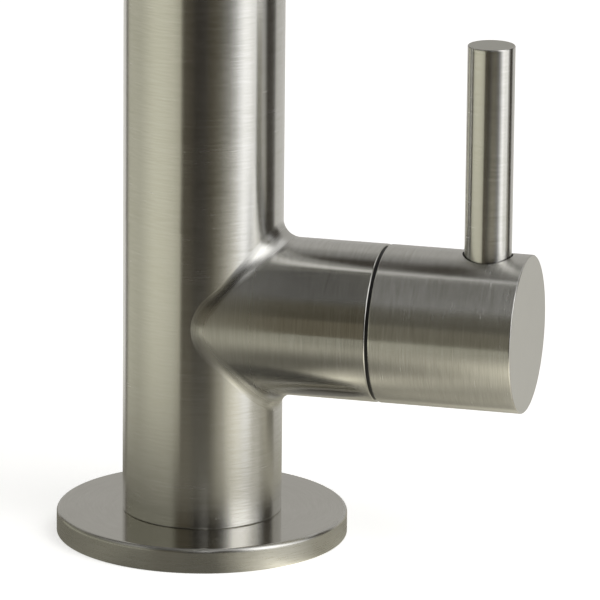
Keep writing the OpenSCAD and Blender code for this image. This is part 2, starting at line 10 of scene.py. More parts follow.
import bmesh
import bpy
import numpy as np
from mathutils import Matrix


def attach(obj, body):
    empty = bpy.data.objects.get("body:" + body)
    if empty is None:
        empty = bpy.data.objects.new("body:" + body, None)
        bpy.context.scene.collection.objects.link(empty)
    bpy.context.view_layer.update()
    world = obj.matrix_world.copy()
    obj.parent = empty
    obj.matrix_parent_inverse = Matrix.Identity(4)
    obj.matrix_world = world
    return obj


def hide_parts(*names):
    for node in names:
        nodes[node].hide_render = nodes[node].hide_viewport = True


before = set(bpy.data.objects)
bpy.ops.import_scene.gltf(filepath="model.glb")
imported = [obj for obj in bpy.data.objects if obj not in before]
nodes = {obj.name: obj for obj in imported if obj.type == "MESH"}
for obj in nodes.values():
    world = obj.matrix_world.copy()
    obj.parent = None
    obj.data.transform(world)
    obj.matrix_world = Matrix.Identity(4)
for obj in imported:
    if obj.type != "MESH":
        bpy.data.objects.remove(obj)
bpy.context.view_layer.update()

# %% [markdown]
# ## Camera
# A long lens far away gives the calm, nearly parallel lines of a product picture. The camera is set
# from angles round a target, because those can be measured one by one, and not from a matrix of
# numbers. The small roll is a camera that stood a little askew.

# %% Camera
MM = 0.001
VIEW_AZIMUTH, VIEW_ELEVATION, VIEW_ROLL = (math.radians(a) for a in (14.7258, 15.3699, 0.5347))
VIEW_TARGET = np.array([21.8883, 0, 54.2602])
VIEW_DISTANCE = 1396.0
LENS_PIXELS = 6418.97
IMAGE_PIXELS = 600
SENSOR_MM = 36


def make_camera():
    """Three unit vectors: back, from the target to the camera; right, level; up, their cross product.
    The roll turns right and up about back."""
    ca, sa = math.cos(VIEW_AZIMUTH), math.sin(VIEW_AZIMUTH)
    ce, se = math.cos(VIEW_ELEVATION), math.sin(VIEW_ELEVATION)
    back = np.array([sa * ce, -ca * ce, se])
    right = np.array([ca, sa, 0])
    up = np.cross(back, right)
    cr, sr = math.cos(VIEW_ROLL), math.sin(VIEW_ROLL)
    turn = np.stack([right * cr + up * sr, up * cr - right * sr, back], axis=1)
    place = np.eye(4)
    place[:3, :3] = turn
    place[:3, 3] = (VIEW_TARGET + back * VIEW_DISTANCE) * MM
    data = bpy.data.cameras.new("camera")
    data.sensor_width = SENSOR_MM
    data.lens = LENS_PIXELS * SENSOR_MM / IMAGE_PIXELS
    data.clip_end = 100
    camera = bpy.data.objects.new("camera", data)
    bpy.context.scene.collection.objects.link(camera)
    camera.matrix_world = place.T.tolist()
    return camera


camera = make_camera()
bpy.context.scene.camera = camera
print("camera at", [round(x, 3) for x in camera.matrix_world.translation])
print("lens", round(camera.data.lens, 1), "mm")

# %% [markdown]
# ## Colours and nodes
# Colours are written as the eye reads them, in sRGB, and one function turns them to the linear light
# that the renderer counts in. A material could be wired by hand in the shader editor. Here one small
# function adds a node with its settings and links, and a few more put nodes together to a product, a
# weighted sum, a soft-edged window and a stack of colours, so that a material reads as a short list.

# %% Helpers for colour and nodes


def linear(code, strength=1.0):
    """sRGB hex to linear RGBA: below 0.04045 divided by 12.92, above it ((c + 0.055) / 1.055) to 2.4."""
    c = np.array([int(code[i:i + 2], 16) for i in (1, 3, 5)]) / 255
    light = np.where(c <= 0.04045, c / 12.92, ((c + 0.055) / 1.055) ** 2.4)
    return (*(light * strength).tolist(), 1.0)


def add(tree, kind, inputs=(), **settings):
    """One node. An input is a plain value, another node's output, or a node, for its first live output."""
    made = tree.nodes.new("ShaderNode" + kind)
    for name, value in settings.items():
        setattr(made, name, value)
    for key, value in dict(inputs).items():
        if isinstance(value, bpy.types.Node):
            value = next(output for output in value.outputs if output.enabled)
        if isinstance(value, bpy.types.NodeSocket):
            tree.links.new(value, made.inputs[key])
        else:
            made.inputs[key].default_value = value
    return made


def product(tree, *values):
    """All the values multiplied."""
    made = values[0]
    for value in values[1:]:
        made = add(tree, "Math", {0: made, 1: value}, operation="MULTIPLY")
    return made


def weighted(tree, start, *parts):
    """start plus each value times its weight."""
    for value, weight in parts:
        start = add(tree, "Math", {0: value, 1: weight, 2: start}, operation="MULTIPLY_ADD")
    return start


def window(tree, value, rise, fall=None):
    """0 up to rise[0] and 1 past rise[1], with a smooth step between, and back to 0 over fall."""
    edges = [rise] if fall is None else [rise, fall]
    return product(tree, *(add(tree, "MapRange", {"Value": value, "From Min": start, "From Max": end},
                               interpolation_type="SMOOTHSTEP") for start, end in edges))


def ramp(tree, value, low, high, stops):
    """Colours along a value: each stop is (value, colour), and the value runs from low to high."""
    share = add(tree, "MapRange", {"Value": value, "From Min": low, "From Max": high})
    made = add(tree, "ValToRGB", {"Fac": share})
    points = made.color_ramp.elements
    while len(points) < len(stops):
        points.new(0.5)
    for point, (at, colour) in zip(points, sorted(stops, key=lambda s: s[0])):
        point.position = (at - low) / (high - low)
        point.color = colour
    return made


def layered(tree, colour, *layers):
    """A colour with others laid over it: each layer is (share, colour)."""
    for share, cover in layers:
        colour = add(tree, "Mix", {"Factor": share, 6: colour, 7: cover}, data_type="RGBA")
    return colour


def new_material(name):
    """A material that uses nodes, and its tree, still empty."""
    material = bpy.data.materials.new(name)
    material.use_nodes = True
    material.node_tree.nodes.clear()
    return material, material.node_tree


print("white in linear light:", linear("#ffffff"))

# %% [markdown]
# ## Studio light
# Polished and brushed metal has hardly a look of its own: it shows what stands round it. A product
# photographer builds that with cards: a white softbox, grey and warm cards, and black ones between
# them that draw the dark lines. Real cards would stand in the way of the other views, so they are
# painted into the world by direction. A row lists its cards by the angle round the tap, in degrees.

# %% Rows of cards
WARM, BLACK, PAPER, BOX = "#fffde7", "#fff1dd", "#fffdf8", "#ffffff"
DUSK, DIM = "#fff0cc", "#fffae5"


def band(edges):
    """Stops of a row of cards, each (from angle, to angle, colour, strength). The gaps are soft edges."""
    stops = []
    for start, end, colour, strength in edges:
        stops += [(start, linear(colour, strength)), (end, linear(colour, strength))]
    return stops


ROUND_LOW = band([
    (-180, -149, PAPER, 0.92), (-145, -139, BLACK, 0.12), (-136, -104, WARM, 0.66),
    (-76, -60, WARM, 1.08), (-48, -33, WARM, 0.95), (-31.5, 3, BLACK, 0.05), (7, 22, DUSK, 0.085),
    (37, 38, BOX, 0.11), (46, 47, BOX, 0.38), (54, 55, BOX, 1.0), (60, 88, BOX, 1.42),
    (92, 97, BOX, 0.50), (101, 122, BLACK, 0.05), (126, 180, PAPER, 0.74)])
ROUND_MID = band([
    (-180, -149, PAPER, 0.46), (-145, -139, BLACK, 0.12), (-136, -44, WARM, 0.46),
    (-36, -20, DUSK, 0.13), (-11, 5, BLACK, 0.025), (12, 22, DUSK, 0.055), (36, 37, BOX, 0.15),
    (45, 46, BOX, 0.45), (53, 54, BOX, 1.0), (60, 88, BOX, 1.38), (92, 97, BOX, 0.45),
    (101, 122, BLACK, 0.05), (126, 180, PAPER, 0.48)])
ROUND_HIGH = band([
    (-180, -149, PAPER, 0.46), (-145, -139, BLACK, 0.12), (-136, -41, WARM, 0.20),
    (-34, -20, DUSK, 0.08), (-11, 9, BLACK, 0.02), (20, 21, DUSK, 0.04), (30, 31, BOX, 0.15),
    (40, 41, BOX, 0.80), (47, 70, BOX, 2.00), (80, 81, BOX, 1.10), (92, 93, BOX, 0.40),
    (103, 122, BLACK, 0.06), (126, 180, PAPER, 0.48)])
BELOW, BEHIND = (-180, -10, WARM, 0.30), [(140, 144, PAPER, 0.48), (160, 180, PAPER, 0.85)]
OVER_MIDDLE = band([
    BELOW, (0, 30, PAPER, 0.10), (42, 84, PAPER, 0.085), (86, 89, PAPER, 0.12), (91.5, 94.5, BOX, 0.6),
    (97, 112, BLACK, 0.055), (124, 126, PAPER, 0.28), *BEHIND])
OVER_LEFT = band([
    BELOW, (0, 58, PAPER, 0.42), (80, 96, PAPER, 0.26), (99, 112, BLACK, 0.07), (124, 126, PAPER, 0.28),
    *BEHIND])
OVER_RIGHT = band([
    BELOW, (0, 20, BOX, 0.90), (30, 52, BOX, 1.25), (66, 80, PAPER, 0.38), (84, 122, BOX, 0.95), *BEHIND])
print("cards:", len(ROUND_LOW) // 2, "low,", len(ROUND_MID) // 2, "middle,", len(ROUND_HIGH) // 2, "high")

# %% [markdown]
# Four rows stand one above the other: low, middle, high and overhead. A picture of a studio could do
# the same, but its cards couldn't be moved one by one. Each direction is turned to angles, the angles
# pick a colour in each row, and soft edges join the rows. To the camera itself the world is plain white.

# %% World of cards
# Where one row gives way to the next: the height in degrees, more by SOFTBOX_RAISE for the top row on the
# softbox's side, and the way's x for the three parts of the top row.
LOW_TO_MID, MID_TO_HIGH, HIGH_TO_OVER = (-11.5, -10.5), (9, 13), (28, 44)
SOFTBOX_SIDE, SOFTBOX_RAISE = ((8, 14), (110, 100)), 22
LEFT_TO_MIDDLE, MIDDLE_TO_RIGHT = (-0.46, -0.38), (0.05, 0.30)


def make_studio():
    """Azimuth is atan2(x, -y) after a turn to the camera's side, height is asin(z), and the angle over
    the top is atan2(z, -y). Four rows of cards: low, middle, high and overhead, where the left, the
    middle and the right differ."""
    world = bpy.data.worlds.new("studio_cards")
    world.use_nodes = True
    tree = world.node_tree
    tree.nodes.clear()
    way = add(tree, "TexCoord").outputs["Generated"]
    turned_way = add(tree, "VectorRotate", {"Vector": way, "Angle": -VIEW_AZIMUTH}, rotation_type="Z_AXIS")
    seen, real = (add(tree, "SeparateXYZ", {"Vector": v}).outputs for v in (turned_way, way))
    seen_front, real_front = (product(tree, part["Y"], -1.0) for part in (seen, real))
    angles = [
        add(tree, "Math", {0: seen["X"], 1: seen_front}, operation="ARCTAN2"),
        add(tree, "Math", {0: real["Z"], 1: real_front}, operation="ARCTAN2"),
        add(tree, "Math", {0: real["Z"]}, operation="ARCSINE")]
    azimuth, over, height = (add(tree, "Math", {0: angle}, operation="DEGREES") for angle in angles)
    low, middle, high = (ramp(tree, azimuth, -180, 180, row) for row in (ROUND_LOW, ROUND_MID, ROUND_HIGH))
    left, centre, right = (ramp(tree, over, -180, 180, row) for row in (OVER_LEFT, OVER_MIDDLE, OVER_RIGHT))
    top = layered(tree, left, (window(tree, real["X"], LEFT_TO_MIDDLE), centre),
                  (window(tree, real["X"], MIDDLE_TO_RIGHT), right))
    raised = weighted(tree, height, (window(tree, azimuth, *SOFTBOX_SIDE), -SOFTBOX_RAISE))
    above_low, above_mid = (add(tree, "MapRange", {"Value": height, "From Min": start, "From Max": end})
                            for start, end in (LOW_TO_MID, MID_TO_HIGH))
    cards = layered(tree, low, (above_low, middle), (above_mid, high),
                    (window(tree, raised, HIGH_TO_OVER), top))
    glow, plain = (add(tree, "Background", {"Color": colour}) for colour in (cards, linear("#ffffff")))
    looked_at = add(tree, "LightPath").outputs["Is Camera Ray"]
    add(tree, "OutputWorld", {"Surface": add(tree, "MixShader", {"Fac": looked_at, 1: glow, 2: plain})})
    bpy.context.scene.world = world
    return world


bpy.context.scene.view_settings.view_transform = "Standard"
print("world:", make_studio().name)

# %% [markdown]
# ## Worktop
# The flange rests on a plain white worktop, at height zero. It is lit from within as a light table is,
# so it stays white to its edge and the tap leaves only a soft shadow. Lamps alone would leave its far
# side grey. It is hidden from reflections, because so wide a white sheet would wash the metal out.

# %% Floor
FLOOR_HALF = 20.0


def staged_square(name, half, height, material, hidden_from):
    """One square face in the studio, which isn't a part of the tap, hidden from some kinds of ray."""
    data = bpy.data.meshes.new(name)
    corners = [(-half, -half, height), (half, -half, height), (half, half, height), (-half, half, height)]
    data.from_pydata(corners, [], [(0, 1, 2, 3)])
    data.materials.append(material)
    square = bpy.data.objects.new(name, data)
    bpy.context.scene.collection.objects.link(square)
    for ray in hidden_from:
        setattr(square, "visible_" + ray, False)
    return square


def make_floor():
    """40 m wide, so that it has no edge in any view."""
    material, tree = new_material("white_light_table")
    grain = add(tree, "TexNoise", {"Scale": 60.0, "Detail": 2.0})
    tone = ramp(tree, grain, 0, 1, [(0.3, linear("#f3f3f1")), (0.7, linear("#f6f6f4"))])
    face = add(tree, "BsdfPrincipled", {"Base Color": tone, "Roughness": 0.8,
                                        "Emission Color": linear("#ffffff"), "Emission Strength": 0.62})
    add(tree, "OutputMaterial", {"Surface": face})
    return staged_square("worktop", FLOOR_HALF, 0.0, material, ("glossy", "shadow"))


print("staged", make_floor().name)

# %% [markdown]
# ## The table in the metal
# The metal shows only the part of the table close by, as a warm grey. The white floor can't give that,
# so the metal sees a sheet of its own just below it, which the camera doesn't see. Its light fades with
# distance, and it is darker in front of the foot and under the valve, where the tap shades it.

# %% Table glow
GLOW_HALF, GLOW_DEPTH = 0.4, 0.0001
TABLE_ROUND = band([
    (-180, -60, DIM, 0.31), (-20, 22, DIM, 0.40), (30, 31, DIM, 0.50), (40, 41, DIM, 0.90),
    (48, 49, DIM, 1.55), (52, 60, DIM, 1.72), (75, 90, DIM, 1.08), (130, 180, DIM, 0.45)])
# Windows for the glow: distances and places in metres, and angles atan2(x, -y) in radians.
LIT_SIDE, NEAR_BY = ((0.38, 0.59), (1.31, 1.08)), (0.16, 0.05)
PATCH_X, PATCH_Y, PATCH_SLANT = ((0.06, 0.10), (0.36, 0.32)), (-0.04, 0.0), (0.02, -0.01)
VALVE_X, VALVE_BACK, VALVE_FRONT = ((0.024, 0.032), (0.095, 0.060)), (0.025, 0.015), (-0.085, -0.040)
VALVE_MIDDLE, FOOT_NEAR, FOOT_FRONT, FOOT_LIT = (-0.030, -0.004), (0.11, 0.05), (-0.6, -0.3), (0.35, 0.60)


def make_table_glow():
    """The sheet that the metal sees, just below the worktop. Its light fades with distance from the
    column, later on the lit side. It is weaker close to the foot, most of all in front, and under the
    valve. A patch behind on the right cuts the softbox off low on the column."""
    material, tree = new_material("warm_grey_table_light")
    here = add(tree, "TexCoord").outputs["Object"]
    far = add(tree, "VectorMath", {0: here}, operation="LENGTH")
    x, y, _ = add(tree, "SeparateXYZ", {"Vector": here}).outputs
    angle = add(tree, "Math", {0: x, 1: product(tree, y, -1.0)}, operation="ARCTAN2")
    light = ramp(tree, add(tree, "Math", {0: angle}, operation="DEGREES"), -180, 180, TABLE_ROUND)
    reach = weighted(tree, 1.0, (window(tree, angle, *LIT_SIDE), -0.4))
    near_by = window(tree, product(tree, far, reach), NEAR_BY)
    patch = product(tree, window(tree, x, *PATCH_X), window(tree, y, PATCH_Y),
                    window(tree, weighted(tree, y, (x, -0.45)), PATCH_SLANT))
    valve = weighted(tree, 0.0, (window(tree, y, VALVE_FRONT), 0.68),
                     (window(tree, y, VALVE_MIDDLE), -0.12))
    valve = product(tree, valve, window(tree, x, *VALVE_X), window(tree, y, VALVE_BACK))
    foot = weighted(tree, 0.37, (window(tree, angle, FOOT_FRONT), 0.23),
                    (window(tree, angle, FOOT_LIT), -0.47))
    foot = product(tree, foot, window(tree, far, FOOT_NEAR))
    shade = product(tree, *(weighted(tree, 1.0, (dark, -1.0)) for dark in (valve, foot)))
    lit = add(tree, "Mix", {"Factor": 1.0, 6: light, 7: shade}, data_type="RGBA", blend_type="MULTIPLY")
    shine = add(tree, "Emission", {"Color": layered(tree, lit, (patch, linear(DIM, 0.50)))})
    seen = add(tree, "Math", {0: near_by, 1: patch}, operation="MAXIMUM")
    gone = add(tree, "BsdfTransparent")
    add(tree, "OutputMaterial", {"Surface": add(tree, "MixShader", {"Fac": seen, 1: gone, 2: shine})})
    return staged_square("table_glow", GLOW_HALF, -GLOW_DEPTH, material, ("camera", "diffuse"))


print("staged", make_table_glow().name)

# %% [markdown]
# ## Key light
# The picture's light comes from a large box above on the right. The world of cards already gives the
# metal its reflections, so this lamp only models light and shade, and isn't mirrored in the metal.

# %% Key light


def make_key_light():
    """A soft square lamp, up on the right, for the light and shade on the table."""
    data = bpy.data.lights.new("key", "AREA")
    data.size = 1.6
    data.energy = 14
    lamp = bpy.data.objects.new("key", data)
    bpy.context.scene.collection.objects.link(lamp)
    lamp.location = (1.3, -1.0, 2.0)
    lamp.rotation_euler = (math.radians(38), 0, math.radians(52))
    lamp.visible_camera = False
    lamp.visible_glossy = False
    return lamp


print("lamp of", make_key_light().data.energy, "W")

# %% [markdown]
# ## Surfaces of turned pieces
# Nearly every piece was turned on a lathe, so its surface is a profile carried round an axis. The
# profile is given by its corners, each with the small radius that a deburred edge has. A rounded
# corner catches a thin line of light, which a sharp one never does. A Screw modifier could carry it
# round, but worked out here it also gets the map that the brushing follows.

# %% Profile and lathe
AROUND = 144
EDGE = 0.3


def outline(*corners, cuts=5, rest=0.05):
    """Points (radius, height) through the corners (radius, height[, rounding]) in mm. A rounded corner is
    a circular arc: the conic through both tangent points a and b with the corner c at weight cos(half
    turn). One more point just outside each arc keeps the shading of the straight sides straight."""
    made = []
    for i, corner in enumerate(corners):
        c = np.array(corner[:2], float)
        if len(corner) < 3:
            made.append(c[None])
            continue
        back = np.array(corners[i - 1][:2], float) - c
        ahead = np.array(corners[i + 1][:2], float) - c
        back, ahead = back / np.linalg.norm(back), ahead / np.linalg.norm(ahead)
        turn = math.pi - math.acos(float(back @ ahead))
        reach = corner[2] * math.tan(turn / 2)
        a, b, weight = c + back * reach, c + ahead * reach, math.cos(turn / 2)
        s = np.linspace(0, 1, cuts + 1)[:, None]
        parts = (1 - s) ** 2, 2 * s * (1 - s) * weight, s ** 2
        arc = (parts[0] * a + parts[1] * c + parts[2] * b) / sum(parts)
        made += [(a + back * rest)[None], arc, (b + ahead * rest)[None]]
    return np.concatenate(made)


def full_turn(steps):
    """Angles once round, with both ends."""
    return np.linspace(0, 2 * np.pi, steps + 1)


def mapped(angle, along):
    """The map of a grid: u is 1 after a full turn, and v runs along it in mm."""
    return np.stack(np.broadcast_arrays(angle / (2 * np.pi), along), axis=-1)


def carried(angle, r, h):
    """A grid round the axis, (r cos angle, r sin angle, h), with its map along the height."""
    points = np.stack(np.broadcast_arrays(r * np.cos(angle), r * np.sin(angle), h), axis=-1)
    return points, mapped(angle, h)


def turned(profile, steps=AROUND):
    """A profile carried round the axis. Its map follows the profile, so that brushing can."""
    angle = full_turn(steps)
    points, _ = carried(angle, profile[:, :1], profile[:, 1:])
    along = np.concatenate([[0], np.cumsum(np.linalg.norm(np.diff(profile, axis=0), axis=1))])
    along += profile[0, 1]
    return points, mapped(angle, along[:, None])


print("a rounded corner has", len(outline((0, 1), (1, 1, 0.3), (1, 0))) - 2, "points")

# %% [markdown]
# ## Walls with a side opening
# The column has a branch, the handle cap a drilled hole for its lever, and each housing a hole for its
# arm. A boolean would leave long thin triangles that show in a metal. So the wall is a grid whose rows
# start and end on the opening's own edge, and the next surface starts on those same points.

# %% Wall and side bore
HALF = 96


def no_ball(t):
    """A plain cut edge, without a fillet."""
    return 0 * t


def meets(radius, side):
    """Distance along the opening at which a line this far to the side leaves a cylinder."""
    return np.sqrt(radius ** 2 - side ** 2)


def wall(radius, hole_r, at, low, high, ball=no_ball, half=HALF, steps=AROUND, rows=12):
    """A cylinder wall from height low to high with an opening of radius hole_r at height at. With
    reach = hole_r + ball_r, the opening's edge is at height at + reach cos t and at the angle
    asin(reach sin t / (radius + ball_r)). Each row runs from there to the same angle on the far side."""
    t = np.linspace(np.pi, 0, half + 1)
    ball_r = ball(t)
    reach = hole_r + ball_r
    edge_h = at + reach * np.cos(t)
    edge_angle = np.arcsin(reach * np.sin(t) / (radius + ball_r))
    edge_angle[[0, -1]] = 0
    below = np.linspace(low, edge_h[0], rows + 1)[:-1]
    above = np.linspace(edge_h[-1], high, rows + 1)[1:]
    h = np.concatenate([below, edge_h, above])[:, None]
    start = np.concatenate([0 * below, edge_angle, 0 * above])[:, None]
    angle = start + (2 * np.pi - 2 * start) * np.linspace(0, 1, steps + 1)
    return carried(angle, radius, h)


def side_bore(start_r, end, hole_r, at, ball=no_ball, half=HALF, rows=8):
    """A side cylinder of radius hole_r. It starts where it meets the cylinder start_r, or the ball that
    rolls round it, and ends at a plain distance, or where it meets a cylinder when end is an array."""
    t = full_turn(2 * half)
    start = meets(start_r + ball(t), (hole_r + ball(t)) * np.sin(t))
    points, uv = carried(t, hole_r, start + (end - start) * np.linspace(0, 1, rows + 1)[:, None])
    return points[..., [2, 1, 0]] + [0, 0, at], uv


print("walls and side bores share", 2 * HALF, "steps round an opening")

# %% [markdown]
# Where the branch leaves the column, the weld was ground to a fillet. A Bevel modifier could round that
# edge, but it pinches where the two walls are nearly flush. A ball that rolls round both walls touches
# each at a known place, and the arc between the two is the fillet.

# %% Rolling-ball blend
BLEND_CUTS = 14


def ball_blend(radius, hole_r, at, ball, half=HALF, cuts=BLEND_CUTS):
    """The fillet where a branch leaves a column: a ball of radius ball(t) rolls round both. Its centre is
    (sqrt((radius + ball_r)^2 - y^2), y, at + reach cos t) with y = reach sin t. Each section is the
    circular arc on the ball from where it touches the column to where it touches the branch."""
    t = full_turn(2 * half)
    ball_r = ball(t)
    reach = hole_r + ball_r
    y = reach * np.sin(t)
    centre = np.stack([meets(radius + ball_r, y), y, reach * np.cos(t)], axis=-1)
    in_column, in_branch, same = radius / (radius + ball_r), hole_r / reach, 1 + 0 * t
    to_column = centre * np.stack([in_column, in_column, same], axis=-1) - centre
    to_branch = centre * np.stack([same, in_branch, in_branch], axis=-1) - centre
    turn = np.arccos((to_column * to_branch).sum(-1) / ball_r ** 2)[:, None]
    u = np.linspace(0, 1, cuts + 1)[:, None, None]
    ray = (np.sin((1 - u) * turn) * to_column + np.sin(u * turn) * to_branch) / np.sin(turn)
    return centre + ray + [0, 0, at], mapped(t, (u * turn)[..., 0] * ball_r)


print("a fillet has", BLEND_CUTS, "steps from wall to wall")

# %% [markdown]
# ## From grids to a piece
# The grids of one piece are laid down in its own directions, put into one mesh, and welded where they
# share points. A welded shell has no open edge, and the count that is printed proves it. Faces that
# look along the turning axis get the second finish, because they were faced and not brushed round.

# %% Mesh maker
WAYS = {"X": (1, 0, 0), "Y": (0, 1, 0), "Z": (0, 0, 1), "-Y": (0, -1, 0), "-Z": (0, 0, -1)}
WELD, SHARP = 4e-7, math.radians(28)


def place(grids, origin, ways):
    """Each grid's first, second and third coordinate runs along the three ways, from the origin."""
    turn = np.array([WAYS[w] for w in ways], float)
    return [(points @ turn + origin, uv) for points, uv in grids]


def quads_of(rows, columns, first):
    """Corner numbers of the faces between neighbouring rows and columns of a grid."""
    i = first + np.arange(rows * columns).reshape(rows, columns)
    return np.stack([i[:-1, :-1], i[1:, :-1], i[1:, 1:], i[:-1, 1:]], axis=-1).reshape(-1, 4)


def fill_mesh(data, grids):
    """All points, faces and map values of the grids, set as whole arrays."""
    points = np.concatenate([p.reshape(-1, 3) for p, _ in grids]) * MM
    map_values = np.concatenate([uv.reshape(-1, 2) for _, uv in grids])
    firsts = np.cumsum([0] + [p.shape[0] * p.shape[1] for p, _ in grids[:-1]])
    quads = np.concatenate([quads_of(*p.shape[:2], f) for (p, _), f in zip(grids, firsts)])
    data.from_pydata(points.tolist(), [], quads.tolist())
    layer = data.uv_layers.new(name="brushing")
    layer.data.foreach_set("uv", map_values[quads.ravel()].astype(np.float32).ravel())


def weld(data, distance=WELD):
    """Merges shared points, turns all faces outwards, and counts edges that are left open."""
    mesh = bmesh.new()
    mesh.from_mesh(data)
    bmesh.ops.remove_doubles(mesh, verts=mesh.verts, dist=distance)
    bmesh.ops.recalc_face_normals(mesh, faces=mesh.faces)
    open_edges = sum(not e.is_manifold for e in mesh.edges)
    mesh.to_mesh(data)
    mesh.free()
    return open_edges


def face_finish(data, axis, limit=0.97):
    """The second material where a face looks along the axis."""
    normals = np.zeros(len(data.polygons) * 3)
    data.polygons.foreach_get("normal", normals)
    flat = np.abs(normals.reshape(-1, 3) @ np.array(WAYS[axis])) > limit
    data.polygons.foreach_set("material_index", flat.astype(np.int32))


def shell(node, body, grids, materials, origin=(0, 0, 0), ways=("X", "Y", "Z"), axis="Z"):
    """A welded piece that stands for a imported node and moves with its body."""
    data = bpy.data.meshes.new(node + "_shell")
    fill_mesh(data, place(grids, origin, ways))
    open_edges = weld(data)
    for material in materials:
        data.materials.append(material)
    if len(materials) > 1:
        face_finish(data, axis)
    data.polygons.foreach_set("use_smooth", np.ones(len(data.polygons), bool))
    data.set_sharp_from_angle(angle=SHARP)
    piece = bpy.data.objects.new(node + "_shell", data)
    bpy.context.scene.collection.objects.link(piece)
    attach(piece, body)
    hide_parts(node)
    print(node, len(data.polygons), "faces,", open_edges, "open edges")
    return piece


print("points closer than", round(WELD * 1e6, 2), "micrometres are one")

# %% [markdown]
# ## Brushed stainless steel
# The real surface is 304 stainless steel, ground with a belt while the piece turns. The scratches run
# round the piece, so light spreads wide along the axis and hardly at all round it: bands stay crisp
# from side to side and melt together from top to bottom. A picture of brushed steel could be wrapped
# round it, but it would blur close by and show a seam. So this is an anisotropic metal whose tangent
# comes from the piece's own map, and its scratches are a noise stretched along that map. Grit 240 leaves
# lines of about 0.05 mm, which is finer than a pixel, so they are drawn about 0.25 mm wide and 5 mm long.

# %% Map for brushing
SCRATCH_LENGTH, SCRATCH_WIDTH, GRIND_LENGTH, GRIND_WIDTH = 5.0, 0.25, 60.0, 1.1


def round_the_piece(tree, radius, length, width):
    """A seamless vector on the map: (radius / length) times cos and sin of u, and v / width."""
    u, v, _ = add(tree, "SeparateXYZ", {"Vector": add(tree, "UVMap", uv_map="brushing")}).outputs
    angle = product(tree, u, 2 * math.pi)
    x, y = (product(tree, add(tree, "Math", {0: angle}, operation=wave), radius / length)
            for wave in ("COSINE", "SINE"))
    return add(tree, "CombineXYZ", {"X": x, "Y": y, "Z": product(tree, v, 1 / width)})


print("scratches are", SCRATCH_WIDTH, "mm wide and", SCRATCH_LENGTH, "mm long")

# %% [markdown]
# No surface has one even tone. A grain and a soft cloud are mixed, and the mix moves tone and roughness
# between two values, while the grain alone makes the relief. Each finish could be wired on its own, but
# all of them share these two functions and differ in their numbers.

# %% Tone, roughness and relief


def uneven(tree, grain, cloud, share, tones, rough, ends=(0.35, 0.65)):
    """The grain with a share of cloud: between its two ends, that takes the tone from the first colour to
    the second, and the roughness from the first value to the second."""
    both = add(tree, "Mix", {"Factor": share, 2: grain, 3: cloud})
    tone = ramp(tree, both, 0, 1, [(end, linear(colour)) for end, colour in zip(ends, tones)])
    roughness = add(tree, "MapRange", {"Value": both, "From Min": ends[0], "From Max": ends[1],
                                       "To Min": rough[0], "To Max": rough[1]})
    return tone, roughness


def surface(tree, tone, roughness, height, relief, more, depth=1.0):
    """The skin with its tone, roughness and relief, where the relief is as many metres deep."""
    bump = add(tree, "Bump", {"Height": height, "Strength": depth, "Distance": relief})
    skin = add(tree, "BsdfPrincipled", {"Base Color": tone, "Roughness": roughness, "Normal": bump, **more})
    add(tree, "OutputMaterial", {"Surface": skin})


print("tone and roughness go together")

# %% [markdown]
# The column and the lever were brushed alike, the flange's top much finer. The branch was brushed finer
# than the column, and its root and fillet were rubbed by hand after the weld was ground. A second piece
# could carry that, but the real skin has no seam. So one material fades from brushed to rubbed with the
# height above the column's wall and above the branch's.

# %% Brushed steel
COLUMN_R, BRANCH_R, LEVER_R, VALVE_H = 17.5, 17.25, 5.15, 50.6
# Where the branch begins, in metres: off the column, off the branch and along x. What was rubbed by
# hand has its own roughness, spread and depth of relief.
OFF_COLUMN, OFF_BRANCH, ROOT_X = (0.0, 0.0008), (0.0, 0.0004), (0.030, 0.006)
HAND_ROUGH, HAND_SPREAD, HAND_DEPTH = 0.33, 0.3, 0.3
BRUSH_CLOUD = 9.0909091


def off_the_column(tree, here):
    """Height above the column's cylinder and above the branch's cylinder, in metres: sqrt(x^2 + y^2)
    minus one radius, and sqrt(y^2 + (z - VALVE_H)^2) minus the other."""
    x, y, z = add(tree, "SeparateXYZ", {"Vector": here}).outputs
    level = add(tree, "Math", {0: z, 1: VALVE_H * MM}, operation="SUBTRACT")
    heights = []
    for side, radius in ((x, COLUMN_R), (level, BRANCH_R)):
        flat = add(tree, "CombineXYZ", {"X": side, "Y": y})
        away = add(tree, "VectorMath", {0: flat}, operation="LENGTH")
        heights.append(add(tree, "Math", {0: away, 1: radius * MM}, operation="SUBTRACT"))
    return heights


